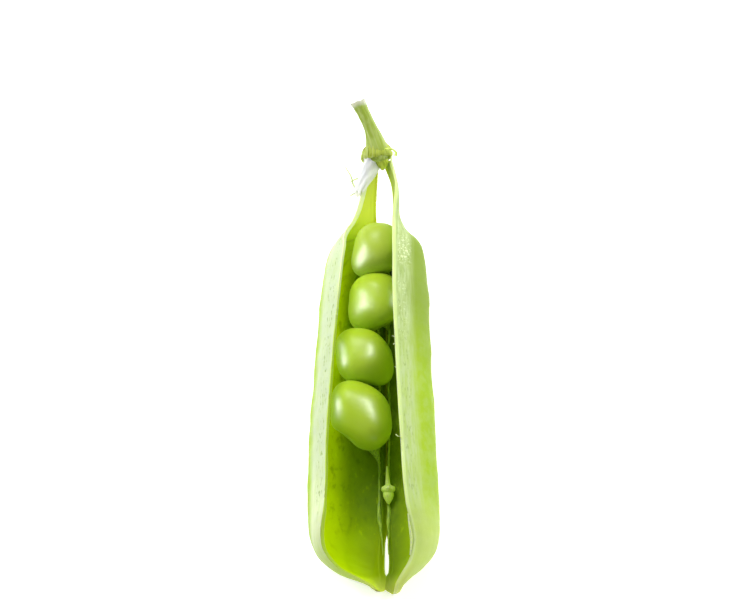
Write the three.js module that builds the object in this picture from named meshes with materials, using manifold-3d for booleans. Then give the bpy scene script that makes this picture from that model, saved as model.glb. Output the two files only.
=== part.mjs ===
// A split garden pea pod with four peas, lying on its back with the opening up.
// Millimetres, +Z up. It is laid out with y = 0 at the tips and y rising to the stalk, and x = 0 between
// its two valves. Its group is then shifted, so that the origin is the middle of the footprint, on the
// surface that the pod lies on.
import * as THREE from "three";
import { mergeVertices } from "three/addons/utils/BufferGeometryUtils.js";
import Module from "manifold-3d";

const wasm = await Module();
wasm.setup();

// Profile of both valves, from the beak at the tip to the neck at the stalk. Each row holds
// y, chord (back seam to open rim), bulge (depth of the valve outside its chord), seam height.
const NECK_END = 71.8;
const PROFILE = [
  [0, 1.6, 0.8, 1.9],
  [1.2, 2.4, 1.2, 1.6],
  [2.2, 4.8, 2.0, 1.3],
  [3.4, 8.2, 3.4, 1.0],
  [6, 12.8, 5.3, 0.65],
  [11, 15.9, 6.5, 0.35],
  [24, 16.3, 6.7, 0.22],
  [38, 15.7, 6.5, 0.22],
  [47, 14.6, 6.5, 0.5],
  [52.5, 13.0, 6.3, 1.1],
  [56, 11.2, 5.9, 2.1],
  [58.5, 9.4, 5.0, 3.1],
  [60.3, 7.4, 3.5, 4.3],
  [62, 5.6, 2.0, 5.3],
  [64.5, 4.3, 1.45, 6.2],
  [68, 3.5, 1.15, 7.0],
  [NECK_END, 2.9, 1.0, 7.8],
];

// How each valve stands: its side (-1 left, +1 right), then rows of
// y, seam distance from the middle, outward lean of the chord in degrees, extra bulge.
const LEFT = {
  side: -1,
  rows: [
    [0, -0.15, 30, 0],
    [1.8, 0, 40, 0.3],
    [5, 0.35, 36, 1.1],
    [11, 0.2, 26.5, 1.55],
    [24, 0.2, 23.5, 1.3],
    [38, 0.2, 20.5, 0.75],
    [49, 0.25, 19.5, 0.45],
    [57, 0.4, 23, 0.3],
    [60.5, 0.55, 31, 0],
    [66, 0.3, 28.5, 0],
    [NECK_END, -0.35, 14, 0],
  ],
};
const RIGHT = {
  side: 1,
  rows: [
    [0, 1.15, 24, 0],
    [1.8, 0.4, 36, 0.2],
    [5, 0.55, 32, 0.5],
    [11, 0.2, 23.5, 0.5],
    [24, 0.2, 19.5, 0.15],
    [38, 0.2, 17, -0.1],
    [49, 0.35, 15.5, -0.25],
    [56, 0.9, 15, -0.55],
    [60, 1.6, 16, -0.35],
    [63, 1.95, 18, -0.4],
    [68, 2.1, 26, -0.35],
    [NECK_END, 1.2, 36, -0.2],
  ],
};

const WALL = 1.0;
const THIN_WALL_SHARE = 0.26; // most of the chord that the wall takes where the pod is narrow
const RIM_SET_BACK = 0.3; // how far the wall's inner corner stands back, so that the cut edge faces up
const THIN_DEPTH_SHARE = 0.3; // the same corner, and the least inner bulge, as a share of the bulge
const OPEN_CURL = 0.3; // 0 curls the edges in as a half ellipse does, 1 leaves them straight
const SEAT_RISE = 0.2; // the low swelling of the wall over each pea
const FULL_CHORD = 16; // where the pod has this chord, the swelling is at its full height
const FLAT_HEIGHT = 0.35; // the back of each valve is flattened up to here, so that the pod lies still

// Stations along the pod, closer together where the outline turns: the beak and the shoulder.
const STATIONS = [
  0, 0.6, 1.2, 1.7, 2.2, 2.8, 3.4, 4.2, 5.1, 6.2, 7.6, 9.2, 11, 13.5, 16.5, 20, 23.5, 27, 30.5, 34,
  37.5, 41, 44, 47, 49.5, 51.5, 53.2, 54.7, 56, 57.3, 58.6, 60, 61.5, 63, 65, 67, 69.3, NECK_END,
];
const SECTION_STEPS = 12;

// Peas, from the stalk to the tip: centre and radii. Peas that grew pressed together are a little
// squarer than an ellipsoid, whose squareness is 2.
const PEAS = [
  { name: "pea_1", centre: [0.4, 57.3, 8.3], radii: [4.1, 4.0, 4.15] },
  { name: "pea_2", centre: [-0.35, 48.7, 6.6], radii: [4.5, 4.35, 4.5] },
  { name: "pea_3", centre: [-2.25, 39.2, 6.5], radii: [4.7, 4.6, 4.7] },
  { name: "pea_4", centre: [-2.75, 29.2, 6.5], radii: [5.0, 5.05, 4.95] },
];
const PEA_SQUARENESS = 2.25;
const PEA_SEGMENTS = [22, 14];

// The seed strand on the inside of each back seam, and the small stalk (funicle) from it to each pea.
const STRAND = { radius: 0.42, from: 4.5, to: 61, lift: 0.1, aside: 0.55, endShare: 0.45, points: 14 };
const FUNICLE = { radius: 0.5, rootShare: 0.8, widening: 0.5, back: 0.75, clear: 1.04 };
const GAP = 0.3;

// The ovule that never grew: a small cup with a notched top, on the right strand.
const OVULE = { y: 17.4, radii: [1.0, 1.05, 1.15], lift: 0.55, flare: 0.25, notch: 0.55 };

// The stalk's middle line, from the receptacle at the neck to the cut end, and its radii as
// rows of [share of the length, radius].
const RECEPTACLE = [0.45, 72.15, 9.4];
const STALK_LINE = [
  RECEPTACLE,
  [0.45, 73.45, 9.55],
  [0.3, 74.95, 9.9],
  [-0.35, 77.35, 10.6],
  [-2.1, 81.5, 12.1],
];
const STALK_RADII = [
  [0, 1.62],
  [0.16, 1.65],
  [0.28, 1.55],
  [0.42, 1.24],
  [0.6, 1.02],
  [0.85, 1.0],
  [1, 1.15],
];

// The calyx was torn off just above its base: a ring of five worn knobs, with one torn tooth left.
const RING = { y: 73, inner: 1.95, outer: 2.4, above: 1.05, below: 0.84, knobs: 5, knob: 0.28 };
const TOOTH = { spread: 0.06, out: 0.35, up: 0.3, lean: 0.5 };

// The withered stamen sheath: a papery half tube that clasps the left neck below the ring.
// Its edges stand at these angles round the neck, where 0 faces out and 90 faces the open rim.
const SHEATH = {
  from: 65.3,
  to: NECK_END,
  clear: 0.45,
  thickness: 0.6,
  opensFrom: 145,
  opensTo: 165,
  closesAt: -95,
  tear: 0.5,
  tearTurn: 2.6,
};

const vector = (numbers) => new THREE.Vector3(...numbers);
const { lerp, degToRad } = THREE.MathUtils;

// A smooth value at y through rows of [y, value, ...], taken from the given column.
function along(rows, column, y) {
  const last = rows.length - 1;
  let k = 0;
  while (k < last - 1 && y > rows[k + 1][0]) k += 1;
  const slope = (i) => {
    const a = rows[Math.max(i - 1, 0)];
    const b = rows[Math.min(i + 1, last)];
    return (b[column] - a[column]) / (b[0] - a[0]);
  };
  const span = rows[k + 1][0] - rows[k][0];
  const t = THREE.MathUtils.clamp((y - rows[k][0]) / span, 0, 1);
  const [p, q] = [rows[k][column], rows[k + 1][column]];
  const [m, n] = [slope(k) * span, slope(k + 1) * span];
  const t2 = t * t;
  const t3 = t2 * t;
  return p * (2 * t3 - 3 * t2 + 1) + m * (t3 - 2 * t2 + t) + q * (3 * t2 - 2 * t3) + n * (t3 - t2);
}

// Everything that fixes a valve's section at y: its seam point, directions and sizes.
function section(valve, y) {
  const lean = degToRad(along(valve.rows, 2, y));
  const chord = along(PROFILE, 1, y);
  const swelling = PEAS.reduce((sum, pea) => {
    const away = (y - pea.centre[1]) / pea.radii[1];
    return sum + SEAT_RISE * Math.exp(-2 * away * away);
  }, 0);
  return {
    seam: vector([valve.side * along(valve.rows, 1, y), y, along(PROFILE, 3, y)]),
    up: vector([valve.side * Math.sin(lean), 0, Math.cos(lean)]),
    out: vector([valve.side * Math.cos(lean), 0, -Math.sin(lean)]),
    chord,
    bulge: along(PROFILE, 2, y) + along(valve.rows, 3, y) + (swelling * chord) / FULL_CHORD,
    wall: Math.min(WALL, THIN_WALL_SHARE * chord),
  };
}

// The point at a height along the section's chord and a depth outside it.
function place(s, height, depth) {
  return s.seam.clone().addScaledVector(s.up, height).addScaledVector(s.out, depth);
}

// A point of the section: t runs from 0 at the back seam to 1 at the open rim.
function sectionPoint(s, t, inner) {
  const round = (1 - Math.cos(Math.PI * t)) / 2;
  const rise = round + (t - round) * OPEN_CURL;
  const swell = Math.sin(Math.PI * t);
  if (inner) {
    const setBack = Math.min(RIM_SET_BACK, THIN_DEPTH_SHARE * s.bulge);
    const innerBulge = Math.max(s.bulge - s.wall, THIN_DEPTH_SHARE * s.bulge);
    return place(s, s.wall + (s.chord - 2 * s.wall) * rise, setBack + (innerBulge - setBack) * swell);
  }
  const point = place(s, s.chord * rise, s.bulge * swell);
  point.z = Math.max(point.z, FLAT_HEIGHT);
  return point;
}

// A closed body through loops of points, all with the same count. An end is capped by strips from
// one half of its loop to the other.
function loft(loops) {
  const count = loops[0].length;
  const index = [];
  for (let i = 0; i < loops.length - 1; i += 1) {
    for (let j = 0; j < count; j += 1) {
      const a = i * count + j;
      const b = i * count + ((j + 1) % count);
      index.push(a, b, b + count, a, b + count, a + count);
    }
  }
  const cap = (start, flip) => {
    for (let j = 0; j < count / 2 - 1; j += 1) {
      const [a, b] = [start + j, start + j + 1];
      const [c, d] = [start + count - 1 - j, start + count - 2 - j];
      index.push(...(flip ? [a, d, b, a, c, d] : [a, b, d, a, d, c]));
    }
  };
  cap(0, true);
  cap((loops.length - 1) * count, false);
  return indexed(loops, index);
}

// A closed ring through loops of points: the last loop joins the first.
function ringLoft(loops) {
  const count = loops[0].length;
  const index = [];
  loops.forEach((_, i) => {
    const next = (i + 1) % loops.length;
    for (let j = 0; j < count; j += 1) {
      const k = (j + 1) % count;
      index.push(i * count + j, i * count + k, next * count + k);
      index.push(i * count + j, next * count + k, next * count + j);
    }
  });
  return indexed(loops, index);
}

function indexed(loops, index) {
  const geometry = new THREE.BufferGeometry().setFromPoints(loops.flat());
  geometry.setIndex(index);
  return geometry;
}

// A tube along a curve whose radius follows radiusAt, a function of the share of its length.
function taperedTube(curve, radiusAt, steps, sides) {
  const frames = curve.computeFrenetFrames(steps, false);
  const loops = [];
  for (let i = 0; i <= steps; i += 1) {
    const centre = curve.getPointAt(i / steps);
    const radius = radiusAt(i / steps);
    const loop = [];
    for (let j = 0; j < sides; j += 1) {
      const turn = (2 * Math.PI * j) / sides;
      const point = centre.clone().addScaledVector(frames.normals[i], radius * Math.cos(turn));
      loop.push(point.addScaledVector(frames.binormals[i], radius * Math.sin(turn)));
    }
    loops.push(loop);
  }
  return loft(loops);
}

// A geometry as a solid for joining, with its faces turned outwards.
function solid(geometry) {
  const bare = geometry.clone();
  bare.deleteAttribute("normal");
  bare.deleteAttribute("uv");
  const merged = mergeVertices(bare, 1e-4);
  const triVerts = new Uint32Array(merged.index.array);
  const vertProperties = merged.attributes.position.array;
  const build = () => new wasm.Manifold(new wasm.Mesh({ numProp: 3, vertProperties, triVerts }));
  const made = build();
  if (made.volume() > 0) return made;
  for (let i = 0; i < triVerts.length; i += 3) {
    [triVerts[i + 1], triVerts[i + 2]] = [triVerts[i + 2], triVerts[i + 1]];
  }
  return build();
}

// The named mesh of a solid.
function nodeOf(name, made, material) {
  const mesh = made.getMesh();
  const geometry = new THREE.BufferGeometry();
  geometry.setAttribute("position", new THREE.BufferAttribute(mesh.vertProperties, 3));
  geometry.setIndex(new THREE.BufferAttribute(mesh.triVerts, 1));
  geometry.computeVertexNormals();
  const node = new THREE.Mesh(geometry, material);
  node.name = name;
  return node;
}

function valveShell(valve) {
  const loops = STATIONS.map((y) => {
    const s = section(valve, y);
    const loop = [];
    for (let j = 0; j <= SECTION_STEPS; j += 1) loop.push(sectionPoint(s, j / SECTION_STEPS, false));
    for (let j = SECTION_STEPS; j >= 0; j -= 1) loop.push(sectionPoint(s, j / SECTION_STEPS, true));
    return loop;
  });
  return solid(loft(loops));
}

// The middle of the seed strand, sunk into the wall beside the back seam.
function strandPoint(valve, y) {
  const s = section(valve, y);
  return place(s, s.wall + STRAND.lift, STRAND.aside);
}

function seedStrand(valve) {
  const points = [];
  for (let i = 0; i <= STRAND.points; i += 1) {
    points.push(strandPoint(valve, lerp(STRAND.from, STRAND.to, i / STRAND.points)));
  }
  const thick = (t) => Math.min(1, 6 * t, 6 * (1 - t));
  const radiusAt = (t) => STRAND.radius * lerp(STRAND.endShare, 1, thick(t));
  return solid(taperedTube(new THREE.CatmullRomCurve3(points), radiusAt, 32, 6));
}

// A funicle runs from the strand towards its pea and stops just clear of it. A pea that lies on the
// strand has none to show.
function funicle(valve, pea) {
  const centre = vector(pea.centre);
  const root = strandPoint(valve, pea.centre[1] - FUNICLE.back * pea.radii[1]);
  const reach = pea.radii[0] * FUNICLE.clear + GAP;
  if (root.distanceTo(centre) < reach + GAP) return null;
  const tip = centre.clone().addScaledVector(root.clone().sub(centre).normalize(), reach);
  const radiusAt = (t) => FUNICLE.radius * (FUNICLE.rootShare + FUNICLE.widening * t);
  return solid(taperedTube(new THREE.LineCurve3(root, tip), radiusAt, 3, 8));
}

function ovule() {
  const ball = new THREE.SphereGeometry(1, 14, 9);
  const at = strandPoint(RIGHT, OVULE.y);
  const points = ball.attributes.position;
  const notchStart = 0.35;
  const notchNarrowness = 2.2;
  for (let i = 0; i < points.count; i += 1) {
    const p = new THREE.Vector3().fromBufferAttribute(points, i);
    const notch = Math.max(0, p.y - notchStart) * Math.max(0, 1 - notchNarrowness * Math.abs(p.x));
    const wide = 1 + OVULE.flare * p.y;
    const offset = vector([p.x * wide, p.y - OVULE.notch * notch, p.z * wide]);
    p.copy(at).add(offset.multiply(vector(OVULE.radii)));
    points.setXYZ(i, p.x, p.y, p.z + OVULE.lift);
  }
  return solid(ball);
}

function peaSolid(pea) {
  const ball = new THREE.SphereGeometry(1, ...PEA_SEGMENTS);
  ball.rotateX(Math.PI / 2);
  const points = ball.attributes.position;
  for (let i = 0; i < points.count; i += 1) {
    const p = new THREE.Vector3().fromBufferAttribute(points, i);
    const powers = p.toArray().map((value) => Math.abs(value) ** PEA_SQUARENESS);
    const norm = powers.reduce((sum, power) => sum + power) ** (1 / PEA_SQUARENESS);
    p.divideScalar(norm).multiply(vector(pea.radii)).add(vector(pea.centre));
    points.setXYZ(i, p.x, p.y, p.z);
  }
  return solid(ball);
}

function stalkSolid() {
  const curve = new THREE.CatmullRomCurve3(STALK_LINE.map(vector));
  return solid(taperedTube(curve, (t) => along(STALK_RADII, 1, t), 18, 16));
}

function calyxRing() {
  const [x, , z] = RECEPTACLE;
  const turns = 40;
  const loops = [];
  for (let i = 0; i < turns; i += 1) {
    const angle = (2 * Math.PI * i) / turns;
    const fromTooth = angle > Math.PI ? angle - 2 * Math.PI : angle;
    const tooth = Math.exp(-(fromTooth ** 2) / TOOTH.spread);
    const knob = RING.knob * Math.cos(RING.knobs * angle) ** 2;
    const outer = RING.outer + knob + TOOTH.out * tooth;
    const top = RING.y + RING.above + 0.5 * knob + TOOTH.up * tooth;
    const bottom = RING.y - RING.below;
    const at = (radius, y) => vector([x + radius * Math.cos(angle), y, z + radius * Math.sin(angle)]);
    loops.push([
      at(RING.inner, bottom),
      at(outer - 0.2, bottom - 0.05),
      at(outer, bottom + 0.45),
      at(outer + 0.05, RING.y + 0.3),
      at(outer - 0.12 + TOOTH.lean * tooth, top - 0.15),
      at(RING.inner + 0.15 + 1.4 * TOOTH.lean * tooth, top),
      at(RING.inner, top - 0.5),
    ]);
  }
  return solid(ringLoft(loops));
}

function sheathSolid() {
  const steps = 9;
  const arcSteps = 10;
  const loops = [];
  for (let i = 0; i <= steps; i += 1) {
    const y = lerp(SHEATH.from, SHEATH.to, i / steps);
    const s = section(LEFT, y);
    const opensAt = lerp(SHEATH.opensFrom, SHEATH.opensTo, i / steps);
    const arc = (clear) => {
      const points = [];
      for (let j = 0; j <= arcSteps; j += 1) {
        const angle = degToRad(lerp(opensAt, SHEATH.closesAt, j / arcSteps));
        const height = s.chord * 0.5 + (s.chord * 0.5 + clear) * Math.sin(angle);
        const depth = s.bulge * 0.4 + (s.bulge * 0.5 + clear) * Math.cos(angle);
        const point = place(s, height, depth);
        if (i === 0) point.y += SHEATH.tear * Math.sin(SHEATH.tearTurn * j);
        points.push(point);
      }
      return points;
    };
    loops.push([...arc(SHEATH.clear + SHEATH.thickness), ...arc(SHEATH.clear).reverse()]);
  }
  return solid(loft(loops));
}

const skin = (colour, roughness) =>
  new THREE.MeshStandardMaterial({ color: new THREE.Color(colour), roughness, metalness: 0 });
const podGreen = skin("#a9c95a", 0.45);
const peaGreen = skin("#9fc32c", 0.25);
const stalkGreen = skin("#a3bf55", 0.55);
const ringGreen = skin("#b4c964", 0.6);
const papery = skin("#e9edd2", 0.8);

// A valve with what grew on it: its seed strand, the funicles of its peas and any extra piece.
function valveSolid(valve, peas, extras) {
  const pieces = [seedStrand(valve), ...peas.map((pea) => funicle(valve, pea)), ...extras];
  return pieces.filter(Boolean).reduce((joined, piece) => joined.add(piece), valveShell(valve));
}

const pod = new THREE.Group();
const [first, second, third, fourth] = PEAS;
pod.add(nodeOf("left_valve", valveSolid(LEFT, [third, fourth], []), podGreen));
pod.add(nodeOf("right_valve", valveSolid(RIGHT, [first, second], [ovule()]), podGreen));
PEAS.forEach((pea) => pod.add(nodeOf(pea.name, peaSolid(pea), peaGreen)));
pod.add(nodeOf("stalk", stalkSolid(), stalkGreen));
pod.add(nodeOf("calyx_ring", calyxRing(), ringGreen));
pod.add(nodeOf("stamen_sheath", sheathSolid(), papery));

const box = new THREE.Box3().setFromObject(pod);
const middle = box.getCenter(new THREE.Vector3());
pod.position.set(-middle.x, -middle.y, -box.min.z);

export default pod;
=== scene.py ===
"""A split garden pea pod with four peas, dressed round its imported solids.

The outlines below are millimetres in the pod's own frame: y is 0 at the tips and rises to the stalk, x is 0
between the two valves and z is up. They are the part's own outlines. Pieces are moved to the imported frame,
in metres, as they are made.
"""

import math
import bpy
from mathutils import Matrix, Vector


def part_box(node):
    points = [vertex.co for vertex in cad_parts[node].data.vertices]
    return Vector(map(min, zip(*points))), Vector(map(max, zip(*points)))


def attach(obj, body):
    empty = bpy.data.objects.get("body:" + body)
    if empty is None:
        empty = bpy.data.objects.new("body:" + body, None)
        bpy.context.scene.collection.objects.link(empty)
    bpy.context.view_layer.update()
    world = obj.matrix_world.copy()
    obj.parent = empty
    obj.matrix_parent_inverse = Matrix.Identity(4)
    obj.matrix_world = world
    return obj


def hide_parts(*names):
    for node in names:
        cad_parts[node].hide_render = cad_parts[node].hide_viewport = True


bl_info = {
    "name": "Pea pod",
    "version": (1, 0, 0),
    "blender": (4, 5, 0),
    "location": "View3D > Sidebar > Pea pod",
    "description": "Builds a split pea pod with its peas, stalk, calyx base and stamen sheath",
    "category": "Object",
}

import bpy
import numpy as np
from mathutils import Matrix, Vector

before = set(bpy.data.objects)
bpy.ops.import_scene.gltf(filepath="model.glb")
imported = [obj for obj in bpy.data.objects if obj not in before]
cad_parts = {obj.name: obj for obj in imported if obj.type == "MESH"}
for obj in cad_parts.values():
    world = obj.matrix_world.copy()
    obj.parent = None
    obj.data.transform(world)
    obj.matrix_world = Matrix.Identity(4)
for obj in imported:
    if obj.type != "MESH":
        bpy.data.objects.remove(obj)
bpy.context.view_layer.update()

MM = 0.001
MERGE_DISTANCE = 2e-7

# The pod's outlines. PROFILE rows hold y, chord from the back seam to the open rim, bulge outside the
# chord and seam height. A valve's rows hold y, seam distance, outward lean in degrees and extra bulge.
NECK_END = 71.8
PROFILE = [
    [0, 2.2, 1.2, 1.8],
    [1.2, 3.2, 1.6, 1.5],
    [2.2, 5.6, 2.4, 1.3],
    [3.4, 9.2, 3.8, 1.0],
    [6, 13.0, 5.4, 0.65],
    [11, 15.9, 6.5, 0.35],
    [24, 16.3, 6.7, 0.22],
    [38, 15.7, 6.5, 0.22],
    [47, 14.6, 6.5, 0.5],
    [52.5, 13.0, 6.3, 1.1],
    [56, 11.2, 5.9, 2.1],
    [58.5, 9.4, 5.0, 3.1],
    [60.3, 7.4, 3.5, 4.3],
    [62, 5.6, 2.0, 5.3],
    [64.5, 4.3, 1.45, 6.2],
    [68, 3.5, 1.15, 7.0],
    [NECK_END, 2.9, 1.0, 7.8],
]
LEFT = {
    "name": "left",
    "side": -1,
    "seed": 11,
    "tip_reach": 0.2,
    "strand_in": 1.0,
    "rows": [
        [0, -0.15, 34, 0],
        [1.8, 0, 50, 0.1],
        [5, 0.27, 42, 1.0],
        [11, 0.2, 26.5, 1.55],
        [24, 0.2, 23.5, 1.3],
        [38, 0.2, 20.5, 0.75],
        [49, 0.25, 19.5, 0.45],
        [57, 0.4, 23, 0.3],
        [60.5, 0.55, 31, 0],
        [66, 0.3, 28.5, 0],
        [NECK_END, -0.35, 14, 0],
    ],
}
RIGHT = {
    "name": "right",
    "side": 1,
    "seed": 23,
    "tip_reach": 0.8,
    "strand_in": 0.48,
    "rows": [
        [0, 1.15, 24, 0],
        [1.8, 0.4, 36, 0.2],
        [5, 0.42, 32, 0.5],
        [11, 0.2, 23.5, 0.5],
        [24, 0.2, 19.5, 0.15],
        [38, 0.2, 17, -0.1],
        [49, 0.35, 15.5, -0.25],
        [56, 0.9, 15, -0.55],
        [60, 1.75, 13, -0.35],
        [63, 2.25, 13, -0.4],
        [68, 2.35, 22, -0.35],
        [NECK_END, 1.2, 36, -0.2],
    ],
}
THIN_WALL_SHARE = 0.26
RIM_SET_BACK = 0.3
THIN_DEPTH_SHARE = 0.3
OPEN_CURL = 0.3
SEAT_RISE = 0.2
FULL_CHORD = 16
FLAT_HEIGHT = 0.35

# Peas from the stalk to the tip. They grew pressed together, so none is quite round. Each bump is a
# turn from the right and a lift towards the viewer, in degrees, and a height as a share of the radius.
# A height below 0 makes a hollow. A notch is written like a bump and is narrower.
PEAS = [
    {
        "centre": [0.4, 57.3, 8.3],
        "radii": [4.1, 4.0, 4.15],
        "bumps": [(90, 0, 0.04), (230, 0, 0.33), (160, 20, -0.08), (205, 35, -0.07)],
        "paleness": 0.8,
    },
    {
        "centre": [-0.35, 48.7, 6.6],
        "radii": [4.5, 4.35, 4.5],
        "bumps": [
            (100, 0, 0.05), (235, 0, 0.23), (50, 0, 0.03), (170, 40, -0.1), (225, 45, -0.06), (320, 45, 0.1)
        ],
        "notches": [(302, 5, -0.2)],
        "paleness": 0.2,
    },
    {
        "centre": [-2.25, 39.2, 6.5],
        "radii": [4.7, 4.6, 4.7],
        "bumps": [
            (15, 0, -0.06), (50, 0, -0.12), (135, 0, 0.12), (305, 0, 0.15), (215, 45, 0.1), (190, 25, -0.05)
        ],
        "notches": [(279, 0, -0.13)],
        "paleness": 0.1,
    },
    {
        "centre": [-2.75, 29.2, 6.5],
        "radii": [5.0, 5.05, 4.95],
        "bumps": [
            (0, 0, -0.06), (50, 0, -0.1), (128, 0, 0.18), (165, 0, -0.12), (215, 0, 0.04), (278, 0, 0.15),
            (135, 45, 0.2), (45, 45, 0.08), (315, 45, 0.24), (234, 10, -0.19), (195, 0, 0.1),
        ],
        "notches": [(232, -5, -0.16), (58, 0, -0.07)],
        "paleness": 0.1,
    },
]
PEA_SQUARENESS = 2.35
BUMP_SHARPNESS = 5.5
NOTCH_SHARPNESS = 12

STRAND_FROM = 6.5
STRAND_TO = 61
STRAND_LIFT = 0.1
STRAND_ASIDE = 0.55
STRAND_SETTLED = 15
STRAND_IN_AT_TIP = 0.35
FUNICLE_ROOTS = [(RIGHT, 54.3), (RIGHT, 45.4), (LEFT, 35.7), (LEFT, 22.6)]
OVULE_Y = 17.4
OVULE_AXIS = [0.0, 0.98, 0.2]
OVULE_FACE = [0.35, -0.15, 0.92]
OVULE_LIFT = [0.1, 0.1, 1.2]

RECEPTACLE = [0.45, 72.15, 9.4]
STALK_LINE = [
    [0.45, 71.75, 9.36],
    RECEPTACLE,
    [0.45, 73.45, 9.55],
    [0.3, 74.95, 9.9],
    [-0.35, 77.35, 10.6],
    [-2.2, 81.75, 12.2],
]
STALK_RADII = [
    [0, 1.5],
    [0.05, 1.8],
    [0.16, 2.0],
    [0.22, 1.95],
    [0.31, 1.62],
    [0.42, 1.28],
    [0.58, 1.06],
    [0.87, 1.05],
    [1, 1.32],
]
RING = {"y": 73, "inner": 1.45, "outer": 2.35, "above": 1.25, "below": 0.84, "shorter_right": 0.55}
KNOBS = {"left": 0.5, "width": 0.5, "round": 0.1, "count": 3, "rough": 0.05, "circle": 2.4}
RIBS = {"turn": 118, "width": 0.62, "height": 0.13, "count": 19}
TOOTH = {"spread": 0.08, "out": 0.25, "up": 0.25}
SHEATH = {"from": 66.6, "to": 72.3, "clear": 0.5, "flare": 0.65, "opens": (128, 222), "closes": -95}
SHEATH_CREASE = 0.05
SHEATH_TEAR = 0.35
SHEATH_MIDDLE = 0.4
SHEATH_FULLNESS = 0.5

# Small fibres that stand on the rims: the valve, y and how far each reaches.
RIM_FIBRES = [
    (RIGHT, 39.5, (-0.4, 0.1, 0.2)),
    (RIGHT, 38.3, (-0.25, -0.2, 0.15)),
    (RIGHT, 34.1, (-0.2, 0.15, 0.2)),
    (LEFT, 45.2, (0.3, 0.1, 0.15)),
    (LEFT, 44.3, (0.25, -0.1, 0.2)),
]

# The camera stands over the tip end and a little to the right, with a long lens.
CAMERA_ROLL = 13
CAMERA_TILT = 18
CAMERA_DISTANCE = 3200.0
FRAME_WIDTH = 122.13
SENSOR_WIDTH = 36.0
AIM_FROM = [0, 0, 1.0]
AIM_RIGHT = -2.21
AIM_UP = 48.2
AIM_NEARER = 6.0

# Soft boxes by the name of their power: what each is called, its place in metres, and its width and
# its length along the pod.
SOFT_BOXES = {
    "key": ("key light", (-0.66, 0.36, 0.47), (0.45, 0.6)),
    "top": ("top light", (-0.1, 0.34, 0.46), (0.2, 0.24)),
    "right": ("right light", (0.5, 0.1, 0.32), (0.3, 0.4)),
    "inside": ("light into the pod", (0.2, 0.42, 0.4), (0.12, 0.16)),
    "lining": ("light on the lining", (0.43, 0.03, 0.47), (0.09, 0.3)),
    "pea_key": ("key light on the peas", (-0.38, 0.2, 0.4), (0.16, 0.2)),
    "low_strip": ("low left strip", (-0.25, -0.06, 0.12), (0.15, 0.26)),
    "near_strip": ("near left strip", (-0.235, -0.02, 0.2), (0.12, 0.2)),
    "left_strip": ("left strip", (-0.28, 0.01, 0.12), (0.17, 0.14)),
    "right_strip": ("right strip", (0.24, 0.155, 0.53), (0.11, 0.24)),
    "side_strip": ("side strip", (0.3, 0.04, 0.1), (0.1, 0.16)),
}

# The strips are only mirrored, each by the peas listed here, with 1 next to the stalk. A strip's peas
# are in a collection with the strip's own name.
MIRRORED_BY = {
    "low_strip": [1],
    "near_strip": [2],
    "left_strip": [3, 4],
    "right_strip": [3, 4],
    "side_strip": [2],
}
LIT_PEAS = "peas lit over the rim"
UNLIT = "pieces out of the key light"
FLOOR_SIZE = 6
FAR_CLIP = 10


def colour(code):
    """Linear red, green and blue of a colour code as it is seen on a screen."""
    parts = [int(code[k : k + 2], 16) / 255 for k in (1, 3, 5)]
    return tuple(p / 12.92 if p <= 0.04045 else ((p + 0.055) / 1.055) ** 2.4 for p in parts)


def tint(name, description, code):
    """A colour property whose default is the given colour code."""
    return bpy.props.FloatVectorProperty(
        name=name, description=description, subtype="COLOR", min=0, max=1, default=colour(code)
    )


def length(name, description, millimetres):
    """A length property whose default is given in millimetres."""
    return bpy.props.FloatProperty(
        name=name, description=description, unit="LENGTH", precision=5, min=0, default=millimetres * MM
    )


def share(name, description, default):
    """A property between 0 and 1."""
    return bpy.props.FloatProperty(
        name=name, description=description, subtype="FACTOR", min=0, max=1, default=default
    )


def watts(name, lamp, default):
    """A property for the power of a lamp."""
    return bpy.props.FloatProperty(
        name=name, description="Power of the " + lamp, unit="POWER", min=0, default=default
    )


class PodSizes(bpy.types.PropertyGroup):
    """Sizes that the outlines leave free."""

    wall: length("Wall", "Thickness of the pod's wall", 1.0)
    rim_lip: length("Rim lip", "How far the rounded lip stands above the cut rim", 0.16)
    rim_tear: length("Rim tear", "Height of the small tears along the rim", 0.07)
    strand_radius: length("Strand radius", "Radius of the seed strands", 0.22)
    funicle_radius: length("Funicle radius", "Radius of a pea's small stalk at its middle", 0.42)
    ovule_radius: length("Ovule radius", "Radius of the ovule that never grew", 1.0)
    stalk_rib: length("Stalk rib", "Height of the stalk's ribs", 0.035)
    sheath_thickness: length("Sheath thickness", "Thickness of the papery sheath", 0.12)


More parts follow.
